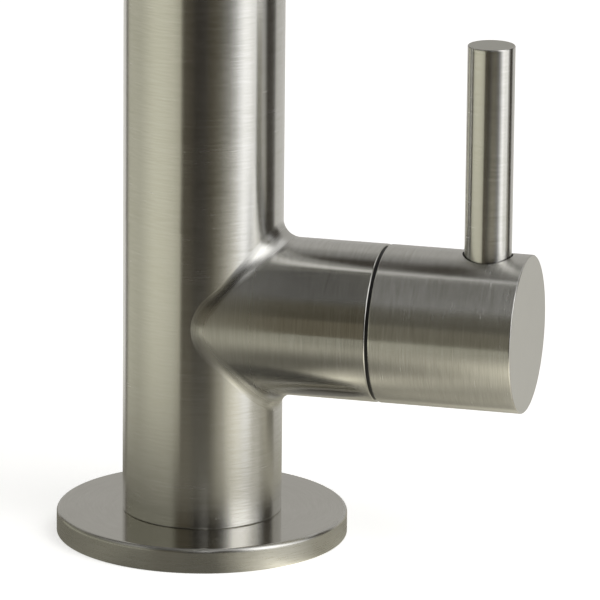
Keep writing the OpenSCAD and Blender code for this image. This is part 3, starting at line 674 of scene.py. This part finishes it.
def brushed_steel(name, radius=COLUMN_R, rough=(0.225, 0.275), spread=0.96, relief=4e-7, branch=1.0,
                  tones=("#c9c8c2", "#d9d8d5")):
    """304 stainless steel brushed while it turns. Two sets of scratches, one coarse and one fine, change
    tone, roughness and relief, and soft clouds of about 9 mm dull it here and there. A branch was brushed
    finer: off the column, the roughness is that share of the rest. Its root and fillet were rubbed by
    hand, so they have little direction."""
    material, tree = new_material(name)
    fine = add(tree, "TexNoise", {"Vector": round_the_piece(tree, radius, SCRATCH_LENGTH, SCRATCH_WIDTH),
                                  "Scale": 1.0, "Detail": 1.5, "Roughness": 0.6})
    broad = add(tree, "TexNoise", {"Vector": round_the_piece(tree, radius, GRIND_LENGTH, GRIND_WIDTH),
                                   "Scale": 1.0, "Detail": 1.0})
    here = add(tree, "TexCoord").outputs["Object"]
    cloud = add(tree, "TexNoise", {"Vector": here, "Scale": 1 / (BRUSH_CLOUD * MM), "Detail": 3.0})
    lines = add(tree, "Mix", {"Factor": 0.2, 2: fine, 3: broad})
    tone, roughness = uneven(tree, lines, cloud, 0.3, tones, rough, ends=(0.32, 0.68))
    direction, depth = spread, 1.0
    if branch < 1:
        off_column, off_branch = off_the_column(tree, here)
        leaving = window(tree, off_column, OFF_COLUMN)
        root = window(tree, add(tree, "SeparateXYZ", {"Vector": here}).outputs["X"], ROOT_X)
        fillet = window(tree, off_branch, OFF_BRANCH)
        by_hand = product(tree, leaving, add(tree, "Math", {0: root, 1: fillet}, operation="MAXIMUM"))
        roughness = product(tree, roughness, weighted(tree, 1.0, (leaving, branch - 1)))
        roughness = add(tree, "Mix", {"Factor": by_hand, 2: roughness, 3: HAND_ROUGH})
        direction = weighted(tree, spread, (by_hand, HAND_SPREAD - spread))
        depth = weighted(tree, 1.0, (by_hand, HAND_DEPTH - 1))
    tangent = add(tree, "Tangent", direction_type="UV_MAP", uv_map="brushing")
    surface(tree, tone, roughness, lines, relief, {"Metallic": 1.0, "Anisotropic": direction,
                                                   "Anisotropic Rotation": 0.25, "Tangent": tangent}, depth)
    return material


brushed_column = brushed_steel("stainless_304_brushed_round")
brushed_branch = brushed_steel("stainless_304_brushed_branch", branch=0.6)
brushed_small = brushed_steel("stainless_304_brushed_round_small", radius=LEVER_R)
flange_steel = brushed_steel("stainless_304_fine_turned", radius=30, rough=(0.08, 0.12), spread=0.8,
                             tones=("#c8c6bf", "#d2d0ca"))
rim_steel = brushed_steel("stainless_304_turned_rim", radius=32, rough=(0.25, 0.31), spread=0.80)
print("brushed steel in 5 kinds")

# %% [markdown]
# Flat ends were faced and then rubbed on fine paper in all directions. They show no bands, only an even
# satin with a few faint marks. A plain grey metal would look like plastic here, so the marks change its
# tone, roughness and relief. The finish has no direction and takes its pattern from object coordinates.

# %% Faced steel
PAPER_MARK, SATIN_CLOUD = 0.3125, 7.142857


def grained(name, tones, rough, grain, cloud, share, relief, **more):
    """A finish with no direction. A grain and a soft cloud, this many mm across, change tone, roughness
    and relief. The grain can also be a function that draws it in the material's tree."""
    material, tree = new_material(name)
    here = add(tree, "TexCoord").outputs["Object"]
    fine = grain(tree) if callable(grain) else add(
        tree, "TexNoise", {"Vector": here, "Scale": 1 / (grain * MM), "Detail": 2.0})
    soft = add(tree, "TexNoise", {"Vector": here, "Scale": 1 / (cloud * MM), "Detail": 2.0})
    tone, roughness = uneven(tree, fine, soft, share, tones, rough)
    surface(tree, tone, roughness, fine, relief, more)
    return material


faced_steel = grained("stainless_304_faced_satin", ("#c1c0b8", "#cccbc4"), (0.30, 0.38), PAPER_MARK,
                      SATIN_CLOUD, share=0.5, relief=3e-6, Metallic=1.0)
print("faced steel ready")

# %% [markdown]
# ## Column with its branch
# On the real tap a short tube is welded to the column and the weld is ground away, so one skin runs
# from the column round a tight fillet into the branch. Here that skin is five grids that share their
# edges: the column's wall, the fillet, the branch, and the turned ends. The same wall and bore, without
# a fillet, make the inside.

# %% Column
COLUMN_BORE, COLUMN_FOOT, COLUMN_TOP, SHANK_HOLE, FOOT_TOP = 14.5, 5.5, 330.0, 12.05, 21.5
BRANCH_BORE, BRANCH_MOUTH = 14.25, 40.7
BLEND_R, BLEND_NOSE, NOSE_ANGLE = 4.0, 14.0, math.radians(15)
LOW_CUT, HIGH_CUT, MOUTH_CUT = 25.0, 310.0, 36.0
TO_THE_RIGHT = ("Z", "Y", "X")


def ground_weld(t):
    """Radius of the ball: BLEND_R, plus BLEND_NOSE exp(-(angle to the side / NOSE_ANGLE)^2) at the front
    and the back, where the two walls are nearly flush and the belt ground them soft."""
    return BLEND_R + BLEND_NOSE * np.exp(-((t % np.pi - np.pi / 2) / NOSE_ANGLE) ** 2)


def column_grids():
    """Outside and inside walls, the fillet and the branch, in the column's own directions."""
    outside = [
        wall(COLUMN_R, BRANCH_R, VALVE_H, LOW_CUT, HIGH_CUT, ground_weld, rows=24),
        ball_blend(COLUMN_R, BRANCH_R, VALVE_H, ground_weld),
        side_bore(COLUMN_R, MOUTH_CUT, BRANCH_R, VALVE_H, ground_weld)]
    inside = [
        wall(COLUMN_BORE, BRANCH_BORE, VALVE_H, LOW_CUT, HIGH_CUT, rows=6),
        side_bore(COLUMN_BORE, MOUTH_CUT, BRANCH_BORE, VALVE_H, rows=2)]
    foot = outline((COLUMN_R, LOW_CUT), (COLUMN_R, COLUMN_FOOT, EDGE), (SHANK_HOLE, COLUMN_FOOT),
                   (SHANK_HOLE, FOOT_TOP), (COLUMN_BORE, FOOT_TOP), (COLUMN_BORE, LOW_CUT))
    top = outline((COLUMN_R, HIGH_CUT), (COLUMN_R, COLUMN_TOP, EDGE), (COLUMN_BORE, COLUMN_TOP),
                  (COLUMN_BORE, HIGH_CUT))
    mouth = outline((BRANCH_R, MOUTH_CUT), (BRANCH_R, BRANCH_MOUTH, EDGE), (BRANCH_BORE, BRANCH_MOUTH),
                    (BRANCH_BORE, MOUTH_CUT))
    mouth_grids = place([turned(mouth, 2 * HALF)], (0, 0, VALVE_H), TO_THE_RIGHT)
    return outside + inside + [turned(foot), turned(top)] + mouth_grids


def off_the_wall(data, radius):
    """True for each face whose centre lies outside the cylinder: sqrt(x^2 + y^2) > radius."""
    centres = np.zeros(len(data.polygons) * 3)
    data.polygons.foreach_get("center", centres)
    x, y, _ = centres.reshape(-1, 3).T / MM
    return np.hypot(x, y) > radius


column = shell("column_body", "column", column_grids(), [brushed_column])
column.data.materials.append(brushed_branch)
on_branch = off_the_wall(column.data, COLUMN_R + 0.01)
column.data.polygons.foreach_set("material_index", on_branch.astype(np.int32))
print(int(on_branch.sum()), "faces of the branch are brushed finer")

# %% [markdown]
# ## Base flange
# A turned plate with a softly rounded rim. It was finished finer than the column, so the column is
# mirrored in it. Its underside has the ring groove for the seal. A cylinder with a bevel could do for
# the plate, but one profile carried round gives the rim, the hole and the groove in one skin. The rim
# has twice the usual steps, because its edge is the largest circle in the picture.

# %% Flange
FLANGE_R, FLANGE_T, FLANGE_HOLE, FLANGE_SEAM, FLANGE_STEPS = 32.0, 5.5, 12.3, 3.0, 288
GROOVE_OUTER, GROOVE_INNER, GROOVE_TOP = 26.5, 23.0, 1.6
RIM_EDGE, FOOT_EDGE, RIM_CUTS = 1.0, 0.4, 10
flange_profile = outline(
    (FLANGE_HOLE, FLANGE_SEAM), (FLANGE_HOLE, FLANGE_T), (FLANGE_R, FLANGE_T, RIM_EDGE),
    (FLANGE_R, 0, FOOT_EDGE), (GROOVE_OUTER, 0), (GROOVE_OUTER, GROOVE_TOP), (GROOVE_INNER, GROOVE_TOP),
    (GROOVE_INNER, 0), (FLANGE_HOLE, 0), (FLANGE_HOLE, FLANGE_SEAM), cuts=RIM_CUTS)
shell("base_flange", "column", [turned(flange_profile, FLANGE_STEPS)], [rim_steel, flange_steel])

# %% [markdown]
# ## Handle cap
# The cap is a cup that carries on the line of the branch across a hairline gap. A hole is drilled in it
# for the lever. A boolean could cut that hole, but the cap's wall is the same kind of grid as the
# column's, with the hole's edge as its start, so its shading stays clean.

# %% Handle cap
CAP_START, CAP_END, CAP_BORE, CAP_FLOOR = 41.35, 72.75, 14.05, 69.55
CAP_NEAR, CAP_FAR, LEVER_X, LEVER_HOLE, SMALL = 45.0, 71.0, 63.65, 5.5, 40


def drilled(outer_r, outer_span, inner_r, inner_span, hole_r, at, half=SMALL, rows=6):
    """An outer and an inner wall with one round hole through both, and the hole's own wall."""
    t = full_turn(2 * half)
    return [
        wall(outer_r, hole_r, at, *outer_span, half=half, rows=rows),
        wall(inner_r, hole_r, at, *inner_span, half=half, rows=2),
        side_bore(inner_r, meets(outer_r, hole_r * np.sin(t)), hole_r, at, half=half, rows=3)]


cap_ends = [
    outline((CAP_BORE, CAP_NEAR), (CAP_BORE, CAP_START), (BRANCH_R, CAP_START, EDGE), (BRANCH_R, CAP_NEAR)),
    outline((BRANCH_R, CAP_FAR), (BRANCH_R, CAP_END, EDGE), (0, CAP_END)),
    outline((0, CAP_FLOOR), (CAP_BORE, CAP_FLOOR))]
cap_walls = drilled(BRANCH_R, (CAP_NEAR, CAP_FAR), CAP_BORE, (CAP_NEAR, CAP_FLOOR), LEVER_HOLE, LEVER_X)
cap_grids = cap_walls + [turned(p) for p in cap_ends]
round_and_faced = [brushed_column, faced_steel]
shell("handle_cap", "handle", cap_grids, round_and_faced, (0, 0, VALVE_H), TO_THE_RIGHT, axis="X")

# %% [markdown]
# ## Lever
# The lever is a plain ground pin. It stands in a hole a little larger than itself, so a dark crescent
# shows at its foot, and its thinner stud goes on through the hole to the carrier inside. A plain
# cylinder would have sharp ends, so it is turned from a profile with a deburred top like the rest.

# %% Lever
LEVER_TOP, STUD_R, STUD_FOOT, LEVER_FOOT = 63.4, 3.0, 3.22, 10.0
lever_profile = outline((0, STUD_FOOT), (STUD_R, STUD_FOOT), (STUD_R, LEVER_FOOT), (LEVER_R, LEVER_FOOT),
                        (LEVER_R, LEVER_TOP, EDGE), (0, LEVER_TOP))
shell("lever", "handle", [turned(lever_profile)], [brushed_small, faced_steel], (LEVER_X, 0, VALVE_H))

# %% [markdown]
# ## Swivel head, knuckle and outlet
# Each is a turned housing with one side hole for its arm. The knuckle is two of them, one on the other,
# with the same cap at the top as at the bottom. Each could be modelled by hand and cut with booleans.
# Here one function makes them all from a few sizes, so that their edges and walls match.

# %% Housings
HEAD_FOOT, HEAD_RIM, HEAD_CAVITY, STEM_HOLE, HEAD_FLOOR = 330.65, 370.65, 12.5, 9.05, 342.5
UPPER_Z, ARM_HOLE = 352.65, 10.05
KNUCKLE_Y, KNUCKLE_R, KNUCKLE_CAVITY, KNUCKLE_H, KNUCKLE_STEM_HOLE = -290.0, 15.0, 11.5, 38.0, 8.05
KNUCKLE_Z, LOWER_TOP, KNUCKLE_FLOOR, KNUCKLE_CAP = 333.65, 333.0, 8.0, 3.0
HOUSING_LOW, HOUSING_HIGH, SEAM_EDGE = 3.0, 1.5, 0.15


def housing(outer_r, cavity_r, stem_r, floor, height, at):
    """A cup turned about its axis: a bearing floor with a stem hole below, open above, with a side hole
    for the arm at height at. Heights start at its foot."""
    below, above = HOUSING_LOW, height - HOUSING_HIGH
    low = outline((cavity_r, floor), (stem_r, floor), (stem_r, 0), (outer_r, 0, EDGE), (outer_r, below))
    high = outline((outer_r, above), (outer_r, height, SEAM_EDGE), (cavity_r, height))
    walls = drilled(outer_r, (below, above), cavity_r, (floor, height), ARM_HOLE, at)
    return walls + [turned(low), turned(high)]


head_floor, head_height, arm_height = (z - HEAD_FOOT for z in (HEAD_FLOOR, HEAD_RIM, UPPER_Z))
head = housing(COLUMN_R, HEAD_CAVITY, STEM_HOLE, head_floor, head_height, arm_height)
shell("swivel_head", "upper_arm", head, [brushed_column], (0, 0, HEAD_FOOT), ("-Y", "X", "Z"))

cup_height = KNUCKLE_H - KNUCKLE_CAP
cup = housing(KNUCKLE_R, KNUCKLE_CAVITY, KNUCKLE_STEM_HOLE, KNUCKLE_FLOOR, cup_height, KNUCKLE_H / 2)
shell("knuckle_upper", "upper_arm", cup, [brushed_column], (0, KNUCKLE_Y, KNUCKLE_Z), ("Y", "X", "Z"))
shell("knuckle_lower", "lower_arm", cup, [brushed_column], (0, KNUCKLE_Y, LOWER_TOP), ("-Y", "X", "-Z"))

# %% [markdown]
# The outlet is closed at its top and bored from below for the flow straightener, whose ring screws in
# flush with it. The outlet is one more drilled wall with turned ends, and the ring is only turned.

# %% Outlet and its ring
OUTLET_Y, OUTLET_R, OUTLET_BORE, OUTLET_TOP, OUTLET_MOUTH = -530.0, 13.0, 10.2, 329.0, 269.0
LOWER_Z, AERATOR_Z, SEAT_R, SEAT_TOP = 314.0, 279.0, 11.0, 287.0
OUTLET_LOW_CUT, OUTLET_HIGH_CUT, BORE_TOP = 290.0, 326.0, 325.0
RING_BORE, RING_STEP, RING_MOUTH, RING_SCREW, RING_TOP, RING_SEAM = 9.35, 271.0, 8.55, 10.95, 285.0, 275.0
outlet_ends = [
    outline((OUTLET_R, OUTLET_HIGH_CUT), (OUTLET_R, OUTLET_TOP, EDGE), (0, OUTLET_TOP)),
    outline((0, BORE_TOP), (OUTLET_BORE, BORE_TOP)),
    outline((OUTLET_BORE, OUTLET_LOW_CUT), (OUTLET_BORE, SEAT_TOP), (SEAT_R, SEAT_TOP), (SEAT_R, AERATOR_Z),
            (OUTLET_R, AERATOR_Z, SEAM_EDGE), (OUTLET_R, OUTLET_LOW_CUT))]
outlet_walls = drilled(OUTLET_R, (OUTLET_LOW_CUT, OUTLET_HIGH_CUT), OUTLET_BORE, (OUTLET_LOW_CUT, BORE_TOP),
                       ARM_HOLE, LOWER_Z)
outlet_grids = outlet_walls + [turned(p) for p in outlet_ends]
shell("outlet_body", "lower_arm", outlet_grids, round_and_faced, (0, OUTLET_Y, 0), ("Y", "X", "Z"))

ring_profile = outline(
    (RING_BORE, RING_SEAM), (RING_BORE, RING_STEP), (RING_MOUTH, RING_STEP),
    (RING_MOUTH, OUTLET_MOUTH, EDGE), (OUTLET_R, OUTLET_MOUTH, EDGE), (OUTLET_R, AERATOR_Z, SEAM_EDGE),
    (RING_SCREW, AERATOR_Z), (RING_SCREW, RING_TOP), (RING_BORE, RING_TOP), (RING_BORE, RING_SEAM))
shell("aerator_housing", "lower_arm", [turned(ring_profile)], [brushed_column], (0, OUTLET_Y, 0))

# %% [markdown]
# The three housings are closed by screwed discs with a spigot and a seal groove. They could be three
# cylinders, but then the groove would be missing when someone takes the tap apart. So one profile is
# carried round for all of them, and the lowest hangs upside down.

# %% Closing discs
SPIGOT_GAP, SEAL_GAP, GROOVE_PLAY = 0.05, 0.04, 0.2


def closing_disc(rim_r, cavity_r, thick, spigot, seal):
    """Profile of a disc with a spigot below it and a groove for a seal of section seal round that."""
    spigot_r, groove_r, half = cavity_r - SPIGOT_GAP, cavity_r - seal - SEAL_GAP, seal / 2 + GROOVE_PLAY
    low, high = -spigot / 2 - half, half - spigot / 2
    return outline(
        (0, -spigot), (spigot_r, -spigot), (spigot_r, low), (groove_r, low), (groove_r, high),
        (spigot_r, high), (spigot_r, 0), (rim_r, 0, SEAM_EDGE), (rim_r, thick, EDGE), (0, thick))


head_disc = [turned(closing_disc(COLUMN_R, HEAD_CAVITY, thick=4, spigot=4, seal=2))]
cup_disc = [turned(closing_disc(KNUCKLE_R, KNUCKLE_CAVITY, thick=KNUCKLE_CAP, spigot=3, seal=1.8))]
cap_z, base_z = KNUCKLE_Z + cup_height, LOWER_TOP - cup_height
shell("head_cap", "upper_arm", head_disc, round_and_faced, (0, 0, HEAD_RIM))
shell("knuckle_cap", "upper_arm", cup_disc, round_and_faced, (0, KNUCKLE_Y, cap_z))
shell("knuckle_base", "lower_arm", cup_disc, round_and_faced, (0, KNUCKLE_Y, base_z), ("X", "Y", "-Z"))

# %% [markdown]
# ## Arms
# Two straight tubes, coped at both ends so that each fits the round cavity it opens into. The cope is
# part of the surface's formula: the length at each place round the tube ends on that cavity. A plain
# tube that runs on into the cavity would look the same from outside, but its end would show from within.

# %% Arm tubes
ARM_R, ARM_BORE, ALONG_ARM = 10.0, 8.5, 40
FORWARD = ("Z", "X", "-Y")
brushed_arm = brushed_steel("stainless_304_brushed_tube", radius=ARM_R, rough=(0.24, 0.26), relief=2e-7,
                            tones=("#cdccc6", "#d6d5d1"))


def arm_grids(length, near_cavity, far_cavity):
    """Outer and inner skin of a tube between two upright cavities a length apart, and the two cut ends.
    A point to the side s of the middle starts at sqrt(near_cavity^2 - s^2) and ends at length minus
    sqrt(far_cavity^2 - s^2)."""
    t = full_turn(2 * HALF)
    share = np.linspace(0, 1, ALONG_ARM + 1)[:, None]

    def skin(radius):
        side = radius * np.sin(t)
        start, end = meets(near_cavity, side), length - meets(far_cavity, side)
        return carried(t, radius, start + (end - start) * share)

    outer, inner = skin(ARM_R), skin(ARM_BORE)
    ends = [tuple(np.stack([outer[k][row], inner[k][row]]) for k in (0, 1)) for row in (0, -1)]
    return [outer, inner, *ends]


upper = arm_grids(-KNUCKLE_Y, HEAD_CAVITY, KNUCKLE_CAVITY)
lower = arm_grids(KNUCKLE_Y - OUTLET_Y, KNUCKLE_CAVITY, OUTLET_BORE)
shell("upper_arm_tube", "upper_arm", upper, [brushed_arm], (0, 0, UPPER_Z), FORWARD)
shell("lower_arm_tube", "lower_arm", lower, [brushed_arm], (0, KNUCKLE_Y, LOWER_Z), FORWARD)

# %% [markdown]
# ## Brass and plain steel
# The pieces inside are never brushed. Brass stems and nuts keep the fine rings that the lathe tool
# leaves, one feed apart. A picture of rings would have to be laid on each piece anew, so the pattern is
# worked out from the distance to the piece's own axis.

# %% Lathe finish


def about_axis(tree, axis, through, feed):
    """Vector of (distance from the axis, height along it), both divided by the feed in mm: a noise of it
    draws rings on a faced end and fine turns on a cylinder."""
    here = add(tree, "TexCoord").outputs["Object"]
    off = add(tree, "VectorMath", {0: here, 1: [v * MM for v in through]}, operation="SUBTRACT")
    part = add(tree, "SeparateXYZ", {"Vector": off}).outputs
    side = [part[k] for k in "XYZ" if k != axis]
    flat = add(tree, "CombineXYZ", {"X": side[0], "Y": side[1]})
    away = add(tree, "VectorMath", {0: flat}, operation="LENGTH")
    both = add(tree, "CombineXYZ", {"X": away, "Y": part[axis]})
    return add(tree, "VectorMath", {0: both, "Scale": 1 / (feed * MM)}, operation="SCALE")


def lathe_metal(name, tones, rough, axis="Z", through=(0, 0, 0), feed=0.15):
    """Metal as the lathe leaves it: rings one feed apart, and a faint cloud of 5 mm, which is the film
    that handling leaves."""

    def rings(tree):
        where = about_axis(tree, axis, through, feed)
        return add(tree, "TexNoise", {"Vector": where, "Scale": 1.0, "Detail": 1.0})

    return grained(name, tones, rough, rings, cloud=5, share=0.4, relief=4e-6, Metallic=1.0)


BRASS = {"tones": ("#cfae68", "#dcc382"), "rough": (0.20, 0.30)}
brass_on_column = lathe_metal("brass_turned_column_axis", **BRASS)
brass_on_valve = lathe_metal("brass_turned_valve_axis", **BRASS, axis="X", through=(0, 0, VALVE_H))
brass_on_knuckle = lathe_metal("brass_turned_knuckle_axis", **BRASS, through=(0, KNUCKLE_Y, 0))
plain_steel = lathe_metal("stainless_304_turned_plain", ("#b9b9b6", "#cbcbc8"), (0.24, 0.34), feed=0.2)
print("lathe finishes about 3 axes")

# %% [markdown]
# ## Rubber, plastic and ceramic
# Seals come black and dull out of a mould, the plastic rings are turned from rod, and the ceramic discs
# are lapped flat until they shine. One flat colour each would look like paint. A fine grain and a soft
# cloud, each of its own size, tell them apart, and none of the three is a metal.

# %% Moulded and lapped finishes


def moulded(name, tones, rough, grain, relief, ior):
    """Rubber, plastic or ceramic, with a grain this many mm across."""
    return grained(name, tones, rough, grain, cloud=4, share=0.4, relief=relief, IOR=ior)


nitrile = moulded("rubber_nitrile_moulded", ("#0e0e0e", "#181817"), (0.66, 0.80), 0.25, 8e-6, 1.52)
acetal = moulded("acetal_black_turned", ("#131314", "#1b1b1c"), (0.36, 0.46), 0.3, 3e-6, 1.48)
alumina = moulded("alumina_ceramic_lapped", ("#e7e4da", "#f1eee6"), (0.10, 0.17), 0.15, 5e-7, 1.76)
print("rubber, acetal and ceramic ready")

# %% [markdown]
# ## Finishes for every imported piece
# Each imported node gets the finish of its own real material, also where it is hidden inside another: the
# piece must look right when someone takes the tap apart. It could be clicked on by hand 46 times. Here
# short lists of names say what each is made of, and what the lists leave out is satin steel.

# %% Dress the nodes
BRASS_NODES = {
    brass_on_column: ["lock_nut", "inlet_nipple", "waterway_core", "swivel_stem", "swivel_retainer"],
    brass_on_valve: ["cartridge_body", "cartridge_nut", "handle_hub", "spindle"],
    brass_on_knuckle: ["knuckle_stem", "knuckle_retainer"]}
ACETAL_NODES = ["glide_ring", "swivel_ring", "knuckle_ring", "aerator_insert"]
PLAIN_NODES = ["threaded_shank", "clamp_washer"]


def finish_of(node):
    """The finish by name: brass, plastic, plain steel, ceramic or rubber, or else satin steel."""
    for material, names in BRASS_NODES.items():
        if node in names:
            return material
    if node in ACETAL_NODES:
        return acetal
    if node in PLAIN_NODES:
        return plain_steel
    if node.endswith("_disc"):
        return alumina
    return nitrile if "seal" in node or node == "deck_washer" else faced_steel


for node, piece in nodes.items():
    piece.data.materials.clear()
    piece.data.materials.append(finish_of(node))
print("finishes:", sorted({piece.data.materials[0].name for piece in nodes.values()}))

# %% [markdown]
# ## Threads and hexagons under the worktop
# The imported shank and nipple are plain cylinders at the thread's outer diameter. The real ones have
# cut threads. The Screw modifier could wind them, but its ends would stay open. So these shells carry
# the helix in a formula: each row of the grid climbs one pitch in a turn and meets itself again, and
# the groove fades out over one pitch at both ends.

# %% Helix and hexagon
THREAD_STEPS = 96
CHAMFER, CHAMFER_ANGLE = 0.98, math.radians(30)


def thread(radius, pitch, depth, low, high):
    """Rows follow height = low + pitch (turn + phase + angle / full turn), kept between low and high. The
    radius is the outer one on the crests, one eighth of a pitch wide, and that minus depth in the
    grooves, one quarter wide, with straight flanks between."""
    angle = full_turn(THREAD_STEPS)
    phases, deep = np.array([0.0625, 0.375, 0.625, 0.9375]), np.array([0, 1, 1, 0])
    turns = math.ceil((high - low) / pitch) + 2
    phase = (np.arange(turns)[:, None] - 1 + phases).reshape(-1, 1)
    h = np.clip(low + pitch * (phase + angle / (2 * np.pi)), low, high)
    level = 0 * angle[None]
    h = np.concatenate([level + low, h, level + high])
    groove = np.concatenate([[0], np.tile(deep, turns), [0]])[:, None]
    fade = np.clip(np.minimum(h - low, high - h) / pitch, 0, 1)
    return carried(angle, radius - depth * groove * fade, h)


def hexagon(flats, low, high, inner_low, inner_high):
    """Six sides at radius (flats / 2) / cos(angle from the side's middle), chamfered from a circle just
    inside the flats, with flat ends in to the two inner radii."""
    angle = full_turn(THREAD_STEPS)
    sixth = np.pi / 3
    side = flats / 2 / np.cos(angle % sixth - sixth / 2)
    side[-1] = side[0]
    start = flats / 2 * CHAMFER
    drop = (side - start) * math.tan(CHAMFER_ANGLE)
    same = 0 * angle
    r = np.stack([same + inner_low, same + start, side, side, same + start, same + inner_high])
    h = np.stack([same + low, same + low, low + drop, high - drop, same + high, same + high])
    return carried(angle, r, h)


print("a thread row has", THREAD_STEPS, "steps")

# %% [markdown]
# ## Shank, lock nut and inlet
# The shank goes through the worktop, the lock nut clamps it from below, and the nipple at its end takes
# the hose. Each is one skin: a thread or a hexagon, joined to turned parts with the same steps round.
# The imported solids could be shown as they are, but their plain sides wouldn't tell how the tap is held.

# %% Shank, lock nut and inlet
SHANK_R, SHANK_BORE, SHANK_END, SHANK_TOP, SEAL_Z = 12.0, 8.5, -65.0, 20.5, 17.5
SEAL_HALF, SEAL_FLOOR, THREAD_TOP, THREAD_START, THREAD_RUNOUT = 1.1, 10.21, -1.5, 0.5, 1.5
SHANK_PITCH, SHANK_DEPTH, END_CHAMFER = 1.5, 0.92, 0.4
NUT_LOW, NUT_HIGH, NUT_FLATS = -53.0, -45.0, 36.0
HEX_LOW, HEX_HIGH, HEX_FLATS, INLET_R, INLET_END, INLET_START = -72.5, -66.5, 24.0, 10.48, -86.5, 0.6
INLET_PITCH, INLET_DEPTH, SPIGOT_R, SPIGOT_TOP, INLET_BORE = 1.814, 1.162, 8.45, -53.0, 5.0


def under(*corners):
    """A turned part of these pieces, with as many steps round as their threads."""
    return turned(outline(*corners), THREAD_STEPS)


shank_low, seal_low, seal_high = SHANK_END + THREAD_START, SEAL_Z - SEAL_HALF, SEAL_Z + SEAL_HALF
shank_grids = [
    thread(SHANK_R, SHANK_PITCH, SHANK_DEPTH, shank_low, THREAD_TOP),
    under((SHANK_R, THREAD_TOP), (SHANK_R, seal_low), (SEAL_FLOOR, seal_low), (SEAL_FLOOR, seal_high),
          (SHANK_R, seal_high), (SHANK_R, SHANK_TOP), (SHANK_BORE, SHANK_TOP), (SHANK_BORE, SHANK_END),
          (SHANK_R - END_CHAMFER, SHANK_END), (SHANK_R, shank_low))]
nut_grids = [hexagon(NUT_FLATS, NUT_LOW, NUT_HIGH, SHANK_HOLE, SHANK_HOLE),
             under((SHANK_HOLE, NUT_LOW), (SHANK_HOLE, NUT_HIGH))]
inlet_low, inlet_high = INLET_END + INLET_START, HEX_LOW - THREAD_RUNOUT
inlet_grids = [
    under((INLET_BORE, INLET_END), (INLET_R - END_CHAMFER, INLET_END), (INLET_R, inlet_low)),
    thread(INLET_R, INLET_PITCH, INLET_DEPTH, inlet_low, inlet_high),
    under((INLET_R, inlet_high), (INLET_R, HEX_LOW)),
    hexagon(HEX_FLATS, HEX_LOW, HEX_HIGH, INLET_R, SPIGOT_R),
    under((SPIGOT_R, HEX_HIGH), (SPIGOT_R, SPIGOT_TOP, EDGE), (INLET_BORE, SPIGOT_TOP),
          (INLET_BORE, INLET_END))]
shell("threaded_shank", "column", shank_grids, [plain_steel])
shell("lock_nut", "column", nut_grids, [brass_on_column])
shell("inlet_nipple", "column", inlet_grids, [brass_on_column])
